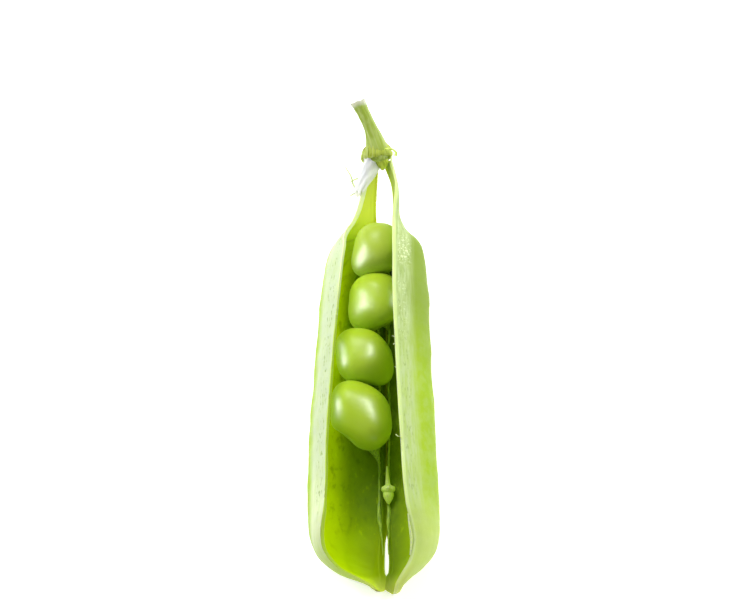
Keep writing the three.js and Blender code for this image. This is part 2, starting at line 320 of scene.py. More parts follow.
class PodColours(bpy.types.PropertyGroup):
    """Colours and finish of the pod and its peas."""

    skin: tint("Skin", "The pod's outer skin", "#a3c02d")
    skin_deep: tint("Deep skin", "The skin low on the pod's sides", "#95b61a")
    skin_far: tint("Far skin", "The duller skin of the right valve near its shoulder", "#7e9636")
    bloom: tint("Bloom", "The whitish bloom on the left valve", "#bccaa4")
    grey_bloom: tint("Grey bloom", "The greyer bloom beside the right rim", "#b9cb90")
    # Scuff is also the painted light on the left bloom towards the tip, and the paler colour of the left cut
    # rim towards the neck.
    scuff_and_painted_light: tint("Scuff", "Small pale scuffs of the skin", "#e2edbd")
    fleck: tint("Fleck", "Dark flecks that run along the skin", "#7d9846")
    # Rim is also the painted light on the right valve's skin towards the tip.
    rim: tint("Rim", "The cut rim", "#d6e690")
    lining: tint("Lining", "The satin lining of the pod", "#aac600")
    # Pale lining is painted light near the rim and towards the tip, and the pale part of the lining's
    # mottle.
    lining_pale: tint("Pale lining", "The thin lining near the rim", "#d2ea00")
    # Deep lining is painted shade beside the back seam, and the dark part of the lining's mottle.
    lining_deep: tint("Deep lining", "The lining beside the back seam", "#5f7d00")
    neck_lining: tint("Neck lining", "The yellow lining of the neck", "#d0dc4a")
    pea: tint("Pea", "The peas", "#b3d118")
    pea_pale: tint("Pale pea", "The pea next to the stalk", "#b0c942")
    strand: tint("Strand", "Seed strands and funicles", "#80a03a")
    ovule: tint("Ovule", "The ovule that never grew", "#e2fa84")
    stalk: tint("Stalk", "The stalk", "#b0ca44")
    stalk_pale: tint("Pale stalk", "The stalk's ribs and its cut end", "#d8e890")
    stalk_end: tint("Stalk end", "The dry cut end of the stalk", "#fafce8")
    calyx: tint("Calyx", "The calyx base", "#c8da4c")
    # Calyx groove is painted shade in the calyx base's grooves.
    calyx_groove_shade: tint("Calyx groove", "The grooves of the calyx base", "#8b9c1c")
    sheath: tint("Sheath", "The papery sheath", "#f8f9ea")
    # Sheath shade is painted shade along the sheath's folds.
    sheath_shade: tint("Sheath shade", "The veins of the papery sheath", "#dce2c6")
    cut: tint("Cut rim", "The broad cut rim of the right valve", "#c6d892")
    cut_left: tint("Left cut rim", "The cut rim of the left valve", "#aec84c")
    neck_web: tint("Neck web", "The thin lining of the right neck", "#a4b84c")
    neck_edge: tint("Neck edge", "The back seam beside the stalk", "#93a31c")
    tip: tint("Tip", "The yellower end of each valve", "#bcc45c")
    dry: tint("Dry spot", "The dry spot at the left tip", "#4c3c1c")
    floor: tint("Floor", "The floor", "#fafafa")


class PodLight(bpy.types.PropertyGroup):
    """The studio light."""

    world: bpy.props.FloatProperty(
        name="World", description="Brightness of the light from all round", min=0, default=0.3
    )
    key: watts("Key", "large soft box at the left and behind", 5.2)
    top: watts("Top", "soft box high behind", 1.7)
    right: watts("Right", "large soft box at the right", 0.28)
    inside: watts("Inside", "lamp that reaches into the pod from behind", 1.0)
    lining: watts("Lining", "lamp that reaches the left lining past the peas", 1.3)
    pea_key: watts("Key on the peas", "key that reaches the peas over the left rim", 1.6)
    left_strip: watts("Left strip", "lamp that the third and fourth peas mirror at their left", 1.9)
    low_strip: watts("Low strip", "lamp that the first pea mirrors", 3.4)
    near_strip: watts("Near strip", "lamp that the second pea mirrors at its left", 2.6)
    right_strip: watts("Right strip", "lamp that the third and fourth peas mirror at their middle", 5.4)
    side_strip: watts("Side strip", "lamp that the second pea mirrors at its right", 0.9)
    floor_glow: share("Floor glow", "How far the floor shines by itself", 0.5)


def along(rows, column, y):
    """A smooth value at each y through rows of [y, value, ...], taken from the given column."""
    table = np.array(rows, float)
    at = table[:, 0]
    values = table[:, column]
    y = np.asarray(y, float)
    slopes = np.empty(len(at))
    slopes[1:-1] = (values[2:] - values[:-2]) / (at[2:] - at[:-2])
    slopes[0] = (values[1] - values[0]) / (at[1] - at[0])
    slopes[-1] = (values[-1] - values[-2]) / (at[-1] - at[-2])
    k = np.clip(np.searchsorted(at, y, side="left") - 1, 0, len(at) - 2)
    span = at[k + 1] - at[k]
    t = np.clip((y - at[k]) / span, 0, 1)
    start, end = values[k], values[k + 1]
    rise, fall = slopes[k] * span, slopes[k + 1] * span
    return (
        start * (2 * t**3 - 3 * t**2 + 1)
        + rise * (t**3 - 2 * t**2 + t)
        + end * (3 * t**2 - 2 * t**3)
        + fall * (t**3 - t**2)
    )


def lerp(a, b, t):
    """From a at 0 to b at 1."""
    return a + (b - a) * t


def smooth(low, high, value):
    """0 up to low, 1 from high on and smooth between."""
    t = np.clip((value - low) / (high - low), 0, 1)
    return t * t * (3 - 2 * t)


def hump(middle, width, value):
    """1 at the middle, falling away over the width on both sides."""
    return np.exp(-(((value - middle) / width) ** 2))


def unit(v):
    """The vector or vectors at length 1."""
    v = np.asarray(v, float)
    return v / np.linalg.norm(v, axis=-1, keepdims=True)


def waves(rng, u, v, shortest, longest, count=20):
    """A soft random relief between about -1 and 1, made of waves over the two lengths u and v."""
    total = np.zeros(np.broadcast(u, v).shape)
    for _ in range(count):
        turn = rng.uniform(0, 2 * math.pi)
        wave = 2 * math.pi / rng.uniform(shortest, longest)
        start = rng.uniform(0, 2 * math.pi)
        total += np.sin(wave * (u * math.cos(turn) + v * math.sin(turn)) + start)
    return total / math.sqrt(count)


def section(valve, y):
    """Everything that fixes a valve's section at each y: its seam point, directions and sizes."""
    y = np.asarray(y, float)
    lean = np.radians(along(valve["rows"], 2, y))
    chord = along(PROFILE, 1, y)
    swelling = sum(
        SEAT_RISE * np.exp(-2 * ((y - pea["centre"][1]) / pea["radii"][1]) ** 2) for pea in PEAS
    )
    zero = np.zeros_like(y)
    side = valve["side"]
    wall = bpy.context.scene.pod_sizes.wall / MM
    return {
        "seam": np.stack([side * along(valve["rows"], 1, y), y, along(PROFILE, 3, y)], -1),
        "up": np.stack([side * np.sin(lean), zero, np.cos(lean)], -1),
        "out": np.stack([side * np.cos(lean), zero, -np.sin(lean)], -1),
        "chord": chord,
        "bulge": along(PROFILE, 2, y) + along(valve["rows"], 3, y) + swelling * chord / FULL_CHORD,
        "wall": np.minimum(wall, THIN_WALL_SHARE * chord),
    }


def place(s, height, depth):
    """The point at a height along the section's chord and a depth outside it."""
    height, depth = np.asarray(height, float), np.asarray(depth, float)
    if height.ndim > s["chord"].ndim:
        seam, up, out = s["seam"][:, None], s["up"][:, None], s["out"][:, None]
    else:
        seam, up, out = s["seam"], s["up"], s["out"]
    return seam + up * height[..., None] + out * depth[..., None]


def strand_point(valve, y):
    """The middle of the seed strand, sunk into the wall beside the back seam."""
    s = section(valve, y)
    line = place(s, s["wall"] + STRAND_LIFT, STRAND_ASIDE + 0 * s["wall"])
    settled = smooth(STRAND_FROM, STRAND_SETTLED, np.asarray(y, float))
    line[..., 0] *= lerp(STRAND_IN_AT_TIP, valve["strand_in"], settled)
    return line


def line_through(points, shares):
    """Points at the given shares of a smooth line's length."""
    points = np.array(points, float)
    steps = np.linalg.norm(np.diff(points, axis=0), axis=1)
    rows = np.column_stack([np.concatenate([[0], np.cumsum(steps)]) / steps.sum(), points])
    return np.stack([along(rows, k, shares) for k in (1, 2, 3)], -1)


def turns(sides):
    """The angles of that many points round a circle."""
    return 2 * np.pi * np.arange(sides) / sides


def round_spokes(side, up, turn):
    """Directions round each point of a line, turned from its side towards its up."""
    return side[:, None] * np.cos(turn)[None, :, None] + up[:, None] * np.sin(turn)[None, :, None]


def tube_loops(centres, radii, sides):
    """Closed round loops along a line, with a radius for each loop."""
    forward = unit(np.gradient(centres, axis=0))
    side = unit(np.cross(forward, [0, 0, 1.0]))
    spokes = round_spokes(side, np.cross(side, forward), turns(sides))
    return centres[:, None] + spokes * np.asarray(radii, float)[:, None, None]


CAP_TURNS = np.array([0.0, 0.35, 0.8, 1.2])
CAP_SHARE = 0.012


def rounded_shares(steps):
    """Shares of a line for a tube's loops, and how full each loop is, so that the ends are rounded."""
    turn = CAP_TURNS
    start = CAP_SHARE * (1 - np.cos(turn))
    middle = np.linspace(CAP_SHARE, 1 - CAP_SHARE, steps)
    shares = np.concatenate([start, middle, 1 - start[::-1]])
    fullness = np.concatenate([np.sin(turn), np.ones(steps), np.sin(turn)[::-1]])
    return shares, fullness


# The pod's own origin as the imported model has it, found from the fourth pea's box.
low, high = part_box("pea_4")
POD_ORIGIN = (np.array(low) + np.array(high)) / 2 - np.array(PEAS[3]["centre"]) * MM


def to_frame(points):
    """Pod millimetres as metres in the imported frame."""
    return np.asarray(points, float) * MM + POD_ORIGIN


def new_object(name, add, **options):
    """Adds a primitive with nothing else selected and names it."""
    bpy.ops.object.select_all(action="DESELECT")
    add(**options)
    obj = bpy.context.active_object
    obj.name = name
    obj.data.name = name
    return obj


def points_of(obj):
    """The places of all of a mesh's points."""
    points = np.empty(len(obj.data.vertices) * 3)
    obj.data.vertices.foreach_get("co", points)
    return points.reshape(-1, 3)


def set_points(obj, points):
    """Moves all of a mesh's points."""
    obj.data.vertices.foreach_set("co", np.ascontiguousarray(points, dtype=np.float32).ravel())
    obj.data.update()


def close_up(obj):
    """Merges the points that meet and turns the faces outwards."""
    bpy.context.view_layer.objects.active = obj
    bpy.ops.object.mode_set(mode="EDIT")
    bpy.ops.mesh.select_all(action="SELECT")
    bpy.ops.mesh.remove_doubles(threshold=MERGE_DISTANCE)
    bpy.ops.mesh.normals_make_consistent(inside=False)
    bpy.ops.object.mode_set(mode="OBJECT")
    bpy.ops.object.shade_smooth()


def loft(name, loops):
    """A closed form through loops of points, whose first and last loop are one point each.

    It starts as a sphere with a ring for each loop, and its rings are moved into place."""
    count, sides = loops.shape[:2]
    obj = new_object(name, bpy.ops.mesh.primitive_uv_sphere_add, segments=sides, ring_count=count - 1)
    ball = unit(points_of(obj))
    ring = np.rint(np.arccos(np.clip(ball[:, 2], -1, 1)) / np.pi * (count - 1)).astype(int)
    spoke = np.rint(np.arctan2(ball[:, 1], ball[:, 0]) / (2 * np.pi) * sides).astype(int) % sides
    set_points(obj, to_frame(loops[ring, spoke]))
    close_up(obj)
    return obj


def folded_sheet(name, rows, skin=None):
    """A closed form through rows of points that start and end at the same place.

    It starts as a flat grid, which is rolled up and closed. Its last and first rows are folded shut, or
    meet each other. skin names the numbers that its material reads and gives them for each point."""
    down, across = rows.shape[0] - 1, rows.shape[1] - 1
    obj = new_object(
        name, bpy.ops.mesh.primitive_grid_add, x_subdivisions=across, y_subdivisions=down, size=2
    )
    flat = points_of(obj)
    i = np.rint((flat[:, 0] + 1) / 2 * across).astype(int)
    j = np.rint((flat[:, 1] + 1) / 2 * down).astype(int)
    set_points(obj, to_frame(rows[j, i]))
    for label, numbers in (skin or {}).items():
        kind, field = ("FLOAT_VECTOR", "vector") if numbers.ndim == 3 else ("FLOAT", "value")
        attribute = obj.data.attributes.new(label, kind, "POINT")
        attribute.data.foreach_set(field, numbers[j, i].astype(np.float32).ravel())
    close_up(obj)
    return obj


def tube(name, line, radii, sides=12, steps=60, wobble=0.0, seed=1):
    """A round-ended tube along a line through points. radii are rows of [share, radius]."""
    shares, fullness = rounded_shares(steps)
    centres = line_through(line, shares)
    if wobble:
        rng = np.random.default_rng(seed)
        reach = shares * np.linalg.norm(np.diff(np.array(line, float), axis=0), axis=1).sum()
        for axis in (0, 2):
            centres[:, axis] += wobble * waves(rng, reach, 0 * reach, 1.5, 6, 8)
    return loft(name, tube_loops(centres, along(radii, 1, shares) * fullness, sides))


def finish_piece(obj, material, slot, *nodes):
    """Gives a piece its material and its body, and hides the imported parts that it stands for. slot is not
    used.
    """
    obj.data.materials.clear()
    obj.data.materials.append(material)
    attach(obj, "root")
    if nodes:
        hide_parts(*nodes)
    return obj


def keep_from_key(obj):
    """Takes a piece out of the light of the key."""
    others = bpy.data.collections[UNLIT]
    others.objects.link(obj)
    others.collection_objects[-1].light_linking.link_state = "EXCLUDE"


class Wire:
    """A value in a material. Python's operators on it add Math nodes."""

    def __init__(self, shader, socket):
        self.shader = shader
        self.socket = socket

    def maths(self, operation, first, second):
        return self.shader.node(
            "ShaderNodeMath", {"operation": operation}, {"Value": first, "Value_001": second}, "Value"
        )

    def __add__(self, other):
        return self.maths("ADD", self, other)

    def __radd__(self, other):
        return self.maths("ADD", other, self)

    def __sub__(self, other):
        return self.maths("SUBTRACT", self, other)

    def __rsub__(self, other):
        return self.maths("SUBTRACT", other, self)

    def __mul__(self, other):
        return self.maths("MULTIPLY", self, other)

    def __rmul__(self, other):
        return self.maths("MULTIPLY", other, self)

    def __truediv__(self, other):
        return self.maths("DIVIDE", self, other)

    def __rtruediv__(self, other):
        return self.maths("DIVIDE", other, self)


class Shader:
    """A node material that is being made."""

    def __init__(self, name, constants):
        self.material = bpy.data.materials.new(name)
        self.material.use_nodes = True
        self.tree = self.material.node_tree
        self.surface = self.tree.nodes["Principled BSDF"]
        for socket, value in constants.items():
            self.surface.inputs[socket].default_value = value

    def node(self, kind, settings, sockets, output=None):
        """Adds a node, sets it, fills or links its sockets and gives the named output, or else the node.

        Sockets are named by their identifiers."""
        made = self.tree.nodes.new(kind)
        for name, value in settings.items():
            setattr(made, name, value)
        inputs = {socket.identifier: socket for socket in made.inputs}
        for name, value in sockets.items():
            self.fill(inputs[name], value)
        if output is None:
            return made
        outputs = {socket.identifier: socket for socket in made.outputs}
        return Wire(self, outputs[output])

    def fill(self, socket, value):
        """Links a wire to a socket, or sets the socket to a colour or a number."""
        if isinstance(value, Wire):
            self.tree.links.new(value.socket, socket)
        elif socket.type == "RGBA":
            socket.default_value = (*tuple(value)[:3], 1)
        else:
            socket.default_value = value

    def millimetres(self):
        """The piece's own place in the frame, in millimetres."""
        place_of = self.node("ShaderNodeTexCoord", {}, {}, "Object")
        return self.stretch(place_of, (1 / MM,) * 3)

    def stretch(self, vector, factors):
        """A pattern's place with each part multiplied by its own factor."""
        sockets = {"Vector": vector, "Vector_001": factors}
        return self.node("ShaderNodeVectorMath", {"operation": "MULTIPLY"}, sockets, "Vector")

    def turned(self, vector, degrees, factors):
        """A pattern's place turned about Z and then stretched."""
        sockets = {"Vector": vector, "Angle": math.radians(degrees)}
        turned = self.node("ShaderNodeVectorRotate", {"rotation_type": "Z_AXIS"}, sockets, "Vector")
        return self.stretch(turned, factors)

    def parts(self, vector):
        """The three numbers of a vector."""
        made = self.node("ShaderNodeSeparateXYZ", {}, {"Vector": vector})
        return [Wire(self, made.outputs[k]) for k in range(3)]

    def skin(self):
        """The surface's own numbers: mm outwards from the rim, mm from the tip and 1 on the lining."""
        vector = self.node("ShaderNodeAttribute", {"attribute_name": "skin"}, {}, "Vector")
        return vector, *self.parts(vector)

    def depth(self):
        """How far down the wall a point is: 0 at the rim, 0.85 just before the back seam and 1 on it."""
        return self.node("ShaderNodeAttribute", {"attribute_name": "depth"}, {}, "Fac")

    def noise(self, vector, scale, detail=3.0, roughness=0.55):
        """A cloudy pattern of about 0 to 1."""
        sockets = {"Vector": vector, "Scale": scale, "Detail": detail, "Roughness": roughness}
        return self.node("ShaderNodeTexNoise", {}, sockets, "Fac")

    def fade(self, value, low, high):
        """0 at low, 1 at high and smooth between. low may be above high."""
        sockets = {
            "Value": value,
            "From Min": min(low, high),
            "From Max": max(low, high),
            "To Min": float(low > high),
            "To Max": float(low < high),
        }
        return self.node("ShaderNodeMapRange", {"interpolation_type": "SMOOTHSTEP"}, sockets, "Result")

    def mix(self, factor, first, second):
        """The first colour at 0, the second at 1 and a blend between."""
        sockets = {"Factor_Float": factor, "A_Color": first, "B_Color": second}
        return self.node("ShaderNodeMix", {"data_type": "RGBA"}, sockets, "Result_Color")

    def bump(self, height, distance, strength):
        """The normal of a surface whose relief is the height, 0 to 1, times a distance in metres."""
        sockets = {"Height": height, "Distance": distance, "Strength": strength}
        return self.node("ShaderNodeBump", {}, sockets, "Normal")

    def finish(self, sockets):
        """Links what changes over the surface into the shader and gives the material."""
        for name, value in sockets.items():
            self.fill(self.surface.inputs[name], value)
        return self.material


def soft_tissue(blue):
    """How light spreads inside thin pale tissue. blue is its reach in blue light beside red."""
    return {
        "Subsurface Weight": 0.3,
        "Subsurface Radius": (1.0, 0.95, blue),
        "Subsurface Scale": 0.8 * MM,
    }


def valve_skin(shader, right, noises, c):
    """The outer skin: deeper low down, with its bloom, its pale scuffs and its dark flecks, and painted
    light that lightens the left bloom and the right skin towards the tip.
    """
    skin, rim, tip, _ = shader.skin()
    mottle, fine, streaks = noises
    outside = shader.mix(shader.fade(rim, 7.6, 3.0), c.skin_deep, c.skin)
    outside = shader.mix(shader.fade(mottle, 0.35, 0.7) * 0.2, outside, c.grey_bloom)
    if right:
        outside = shader.mix(shader.fade(tip, 30.0, 50.0) * 0.8, outside, c.skin_far)
        # Painted light: towards the tip the right valve's skin is lightened with the rim colour, where its
        # surface turns down.
        outside = shader.mix(shader.fade(tip, 16.0, 6.0) * 0.55, outside, c.rim)
        bloom = shader.fade(rim, 5.0, 2.6) * shader.fade(tip, 7.0, 14.0)
        bloom = bloom * (0.5 + 0.5 * shader.fade(streaks, 0.35, 0.65))
        outside = shader.mix(bloom, outside, c.grey_bloom)
        cluster = shader.fade(tip, 52.0, 54.5) * shader.fade(tip, 59.0, 57.0)
        cluster = cluster * shader.fade(rim, 1.0, 1.9) * shader.fade(rim, 4.2, 3.0)
        patches = shader.fade(tip, 38.0, 42.0) * shader.fade(tip, 53.0, 49.0)
        patches = patches * shader.fade(rim, 0.9, 1.5) * shader.fade(rim, 3.4, 2.4)
        marks = cluster * shader.fade(fine, 0.5, 0.6) + 0.6 * patches * shader.fade(fine, 0.56, 0.66)
        outside = shader.mix(marks * 0.8, outside, c.scuff_and_painted_light)
    else:
        bloom = shader.fade(rim, 6.3, 3.8) * shader.fade(tip, 1.5, 9.0)
        bloom = bloom * (0.76 + 0.26 * shader.fade(streaks, 0.3, 0.6))
        # Painted light: towards the tip the left bloom is blended with the pale scuff colour, where the
        # surface turns away from the light.
        bloom_painted_lighter_at_tip = shader.mix(shader.fade(tip, 22.0, 9.0) * 0.65, c.bloom, c.scuff_and_painted_light)
        outside = shader.mix(bloom, outside, bloom_painted_lighter_at_tip)
    flecks = shader.noise(shader.stretch(skin, (3.4, 0.9, 1)), 1.0, 2, 0.5)
    band = shader.fade(rim, 0.9, 1.5) * shader.fade(rim, 3.6, 2.4)
    band = band * shader.fade(flecks, 0.58, 0.66) * shader.fade(tip, 8.0, 14.0)
    return shader.mix(band * (0.45 if right else 0.7), outside, c.fleck)


def valve_lining(shader, right, mottle, c):
    """The satin lining: paler near the rim as a painted glow of light through the thin wall, darker beside
    the back seam as painted shade, paler towards the tip as painted light, and a web at the neck.
    """
    skin, _, tip, _ = shader.skin()
    depth = shader.depth()
    # Painted light: near the rim the lining is paler, a painted glow of light shining through the thin wall.
    thin = shader.fade(depth, 0.75, 0.2) * (0.6 + 0.5 * mottle)
    inside = shader.mix(thin, c.lining, c.lining_pale)
    # Painted shade: the lining darkens towards the back seam, deep down between the valves.
    inside = shader.mix(shader.fade(depth, 0.62 if right else 0.5, 0.9), inside, c.lining_deep)
    cells = shader.noise(shader.stretch(skin, (0.75, 0.4, 1)), 1.0, 4, 0.62)
    calm = shader.fade(tip, 4.0, 12.0)
    inside = shader.mix(shader.fade(cells, 0.5, 0.72) * calm * 0.5, inside, c.lining_deep)
    inside = shader.mix(shader.fade(cells, 0.42, 0.25) * calm * 0.5, inside, c.lining_pale)
    # Painted light: the lining is paler towards the tip, most on the left valve.
    inside = shader.mix(shader.fade(tip, 15.0, 8.0) * (0.1 if right else 0.32), inside, c.lining_pale)
    web = shader.fade(tip, 56.0, 64.0) * 0.9
    return shader.mix(web, inside, c.neck_web if right else c.neck_lining)


def valve_edges(shader, right, base, streaks, c):
    """Adds the cut rim, the back seam's edge at the neck and the two colours of the tip."""
    _, rim, tip, _ = shader.skin()
    depth = shader.depth()
    neck = shader.fade(tip, 57.0, 64.0)
    width = 0.55 + 0.45 * neck + (0.45 * (1 - neck) if right else 0)
    cut = shader.fade(rim + 0.45 * neck, -0.62, -0.5) * shader.fade(rim / width, 1.15, 0.9)
    cut = cut * shader.fade(depth, 0.6, 0.4)
    inner_line = cut * shader.fade(rim, -0.1, -0.4)
    # The left cut rim turns paler towards the neck.
    left_cut_paler_to_neck = shader.mix(shader.fade(tip, 40.0, 54.0), c.cut_left, c.scuff_and_painted_light)
    base = shader.mix(cut * (0.85 + 0.25 * streaks), base, c.cut if right else left_cut_paler_to_neck)
    base = shader.mix(inner_line, base, c.rim if right else left_cut_paler_to_neck)
    base = shader.mix(shader.fade(tip, 58.0, 60.0) * shader.fade(depth, 0.9, 1.0), base, c.neck_edge)
    base = shader.mix(shader.fade(tip, 3.5, 0.5) * 0.6, base, c.tip)
    if right:
        return base
    spot = shader.fade(tip, 0.45, 0.15) * shader.fade(depth, 0.6, 0.3)
    return shader.mix(spot, base, c.dry)


def valve_material(valve, c):
    """Waxy skin outside, cut rim and satin lining, told apart by the numbers on the surface."""
    right = valve is RIGHT
    finish = {
        "Subsurface Weight": 0.5,
        "Subsurface Radius": (1.0, 1.0, 0.2),
        "Subsurface Scale": 1.0 * MM,
        "Specular IOR Level": 0.12,
    }
    shader = Shader(valve["name"] + " valve", finish)
    mm = shader.millimetres()
    skin, _, _, lining = shader.skin()
    mottle = shader.noise(mm, 0.55, 4)
    fine = shader.noise(mm, 2.6, 4, 0.6)
    streaks = shader.noise(shader.stretch(skin, (2.2, 0.22, 1)), 1.0, 4, 0.6)
    outside = valve_skin(shader, right, (mottle, fine, streaks), c)
    inside = valve_lining(shader, right, mottle, c)
    base = valve_edges(shader, right, shader.mix(lining, outside, inside), streaks, c)
    fibres = shader.noise(shader.turned(skin, 35, (5.5, 0.7, 1)), 1.0, 3, 0.6)
    outer_height = 0.5 * fine + 0.5 * streaks
    height = outer_height * (1 - lining) + fibres * lining * 0.5
    rough = (0.5 + 0.14 * mottle) * (1 - lining) + (0.5 + 0.1 * fine) * lining
    normal = shader.bump(height, 0.06 * MM, 0.8)
    return shader.finish({"Base Color": base, "Roughness": rough, "Normal": normal})


def pea_material(number, pea, c):
    """Smooth glossy skin with a faint mottling."""
    finish = {
        "Subsurface Weight": 0.25,
        "Subsurface Radius": (1.0, 0.95, 0.15),
        "Subsurface Scale": 1.0 * MM,
        "Specular IOR Level": 0.45,
    }
    shader = Shader(f"pea {number}", finish)
    mm = shader.millimetres()
    cloud = shader.noise(mm, 0.22, 2)
    fine = shader.noise(mm, 1.7, 4)
    pale = shader.fade(cloud, 0.3, 0.7) * 0.3 + pea["paleness"] * 0.8
    base = shader.mix(pale, c.pea, c.pea_pale)
    base = shader.mix(shader.fade(fine, 0.5, 0.75) * 0.12, base, c.pea_pale)
    rough = 0.33 + 0.12 * fine
    normal = shader.bump(fine, 0.03 * MM, 0.5)
    return shader.finish({"Base Color": base, "Roughness": rough, "Normal": normal})


def fibre_material(name, main, pale):
    """Soft green tissue with fibres that run along the pod."""
    shader = Shader(name, soft_tissue(0.3))
    mm = shader.millimetres()
    fibres = shader.noise(shader.stretch(mm, (4.0, 0.8, 4.0)), 1.0, 3)
    base = shader.mix(shader.fade(fibres, 0.35, 0.7), main, pale)
    rough = 0.38 + 0.2 * fibres
    normal = shader.bump(fibres, 0.05 * MM, 0.8)
    return shader.finish({"Base Color": base, "Roughness": rough, "Normal": normal})


def stalk_material(c):
    """Smooth pale green, with faint lines along it and a paler cut end."""
    shader = Shader("stalk", soft_tissue(0.3))
    mm = shader.millimetres()
    x, y, _ = shader.parts(mm)
    lines = shader.noise(shader.turned(mm, -17, (1.8, 0.16, 1.8)), 1.0, 2)
    base = shader.mix(shader.fade(lines, 0.4, 0.7) * 0.6, c.stalk, c.stalk_pale)
    base = shader.mix(shader.fade(y - 0.35 * x, 39.8, 40.7) * 0.9, base, c.stalk_end)
    rough = 0.45 + 0.15 * lines
    normal = shader.bump(lines, 0.05 * MM, 0.6)
    return shader.finish({"Base Color": base, "Roughness": rough, "Normal": normal})


def calyx_material(c):
    """Knobby tissue, pale on its ribs and darker in its grooves, the darker grooves being painted shade."""
    shader = Shader("calyx base", soft_tissue(0.3))
    mm = shader.millimetres()
    x = shader.parts(mm)[0]
    ribs = shader.noise(shader.stretch(mm, (2.6, 0.25, 0.7)), 1.0, 2)
    ribbed = shader.fade(x, 1.4, 0.8)
    grain = shader.noise(mm, 1.6, 3)
    # Painted shade: the grooves between the ribs are darker.
    base = shader.mix(shader.fade(ribs, 0.42, 0.54) + (1 - ribbed) * 0.5, c.calyx_groove_shade, c.calyx)
    base = shader.mix(shader.fade(ribs, 0.54, 0.64) * (0.15 + 0.6 * ribbed), base, c.stalk_pale)
    rough = 0.5 + 0.15 * grain
    normal = shader.bump(grain, 0.06 * MM, 0.7)
    return shader.finish({"Base Color": base, "Roughness": rough, "Normal": normal})


def sheath_material(c):
    """Thin dry paper with faint streaks along it, raised a little and darker as painted shade of its folds.
    """
    shader = Shader("papery sheath", {**soft_tissue(0.8), "Subsurface Weight": 0.9})
    mm = shader.millimetres()
    shaded_folds = shader.noise(shader.turned(mm, 12, (3.2, 0.35, 3.2)), 1.0, 3)
    grain = shader.noise(mm, 6.0, 4)
    # Painted shade: the streaks along the folds are darker.
    base = shader.mix(shader.fade(shaded_folds, 0.55, 0.75) * 0.6, c.sheath, c.sheath_shade)
    rough = 0.6 + 0.2 * grain
    normal = shader.bump(shaded_folds + 0.3 * grain, 0.05 * MM, 0.7)
    return shader.finish({"Base Color": base, "Roughness": rough, "Normal": normal})


# A valve's wall: how many points its loops have, how its ends are rounded and where its seam touches.
# The depths are the numbers that the lining's colours read: beside the back seam, and across it.
OUTER_STEPS = 44
LIP_STEPS = 7
SEAM_STEPS = 4
VALVE_STATIONS = 250
STATION_CROWDING = 0.24
PAST_NECK = 0.7
END_TAPER = 0.7
TIP_ROUND = 0.9
TIP_SHARPEST = 0.02
TIP_ZONE = 4
FLAT_WALL = 0.5
SEAM_OVERLAP = 0.08
SEAM_REACH = 0.09
SEAM_TOUCHES = [(8.5, 11, 56, 61.5), (0.4, 1.3, 2.8, 3.6)]
SEAM_DEPTHS = (0.85, 0.9, 1.0)
SHOULDER = {"y": 60.3, "width": 1.5, "narrower": 0.26}

# The relief of a valve's skin, in millimetres: heights and the shortest and longest waves.
GENTLE_RELIEF = {"height": 0.045, "waves": (3.5, 9.0)}
FINE_RELIEF = {"height": 0.014, "waves": (1.0, 2.6)}
TEAR_WAVES = (0.35, 1.3)
RIM_GROOVE = {"from_rim": 1.45, "width": 0.4, "depth": 0.05}
RIM_WIDTH = 0.35
RESTING_ZONE = 0.25


def blunt_section(valve, y):
    """A valve's section at each y, narrower at its shoulder and rounded off at its tip.

    full is 1 where the wall is hollowed out, and falls to 0 at both ends, which are closed."""
    s = section(valve, y)
    s["full"] = smooth(0, END_TAPER, y) * smooth(y[-1], y[-1] - END_TAPER, y)
    s["bulge"] = s["bulge"] * (1 - SHOULDER["narrower"] * hump(SHOULDER["y"], SHOULDER["width"], y))
    from_end = np.clip(y / TIP_ROUND, 0, 1)
    blunt = np.sqrt(from_end * (2 - from_end))
    s["seam"] = s["seam"] + s["up"] * (s["chord"] * (1 - blunt) / 2)[:, None]
    for key in ("chord", "bulge", "wall"):
        s[key] = s[key] * np.maximum(blunt, TIP_SHARPEST)
    return s


def wall_faces(s, t):
    """The outside and the lining of a wall, each from the back seam up to the open rim."""
    round_rise = (1 - np.cos(np.pi * t)) / 2
    rise = round_rise + (t - round_rise) * OPEN_CURL
    swell = np.sin(np.pi * t)
    chord, bulge, wall = (s[key][:, None] for key in ("chord", "bulge", "wall"))
    outer = place(s, chord * rise, bulge * swell)
    outer[..., 2] = np.maximum(outer[..., 2], FLAT_HEIGHT)
    set_back = np.minimum(RIM_SET_BACK, THIN_DEPTH_SHARE * bulge)
    inner_bulge = np.maximum(bulge - wall, THIN_DEPTH_SHARE * bulge)
    inner = place(s, wall + (chord - 2 * wall) * rise, set_back + (inner_bulge - set_back) * swell)
    inner[..., 2] = np.maximum(inner[..., 2], FLAT_HEIGHT + FLAT_WALL)
    return outer, lerp(outer, inner, s["full"][:, None, None])


def wall_loops(s, outer, inner, lip_height):
    """Each station's loop: up the outside, over the lip, down the lining and round the back seam."""
    lip_at = np.linspace(0, 1, LIP_STEPS + 2)[1:-1]
    arch = lip_height * s["full"][:, None, None] * np.sin(np.pi * lip_at)[None, :, None]
    lip = lerp(outer[:, -1:], inner[:, -1:], lip_at[None, :, None]) + arch * s["up"][:, None]
    seam_at = np.linspace(0, 1, SEAM_STEPS + 2)[1:-1]
    seam = lerp(inner[:, :1], outer[:, :1], seam_at[None, :, None])
    return np.concatenate([outer, lip, inner[:, ::-1], seam, outer[:, :1]], axis=1)


def seam_closing(valve, y):
    """How far a back seam moves in to touch the other. They part towards the tips and the necks."""
    parts = [smooth(*ends[:2], y) * smooth(ends[3], ends[2], y) for ends in SEAM_TOUCHES]
    return (along(valve["rows"], 1, y) + SEAM_OVERLAP) * np.maximum(*parts)


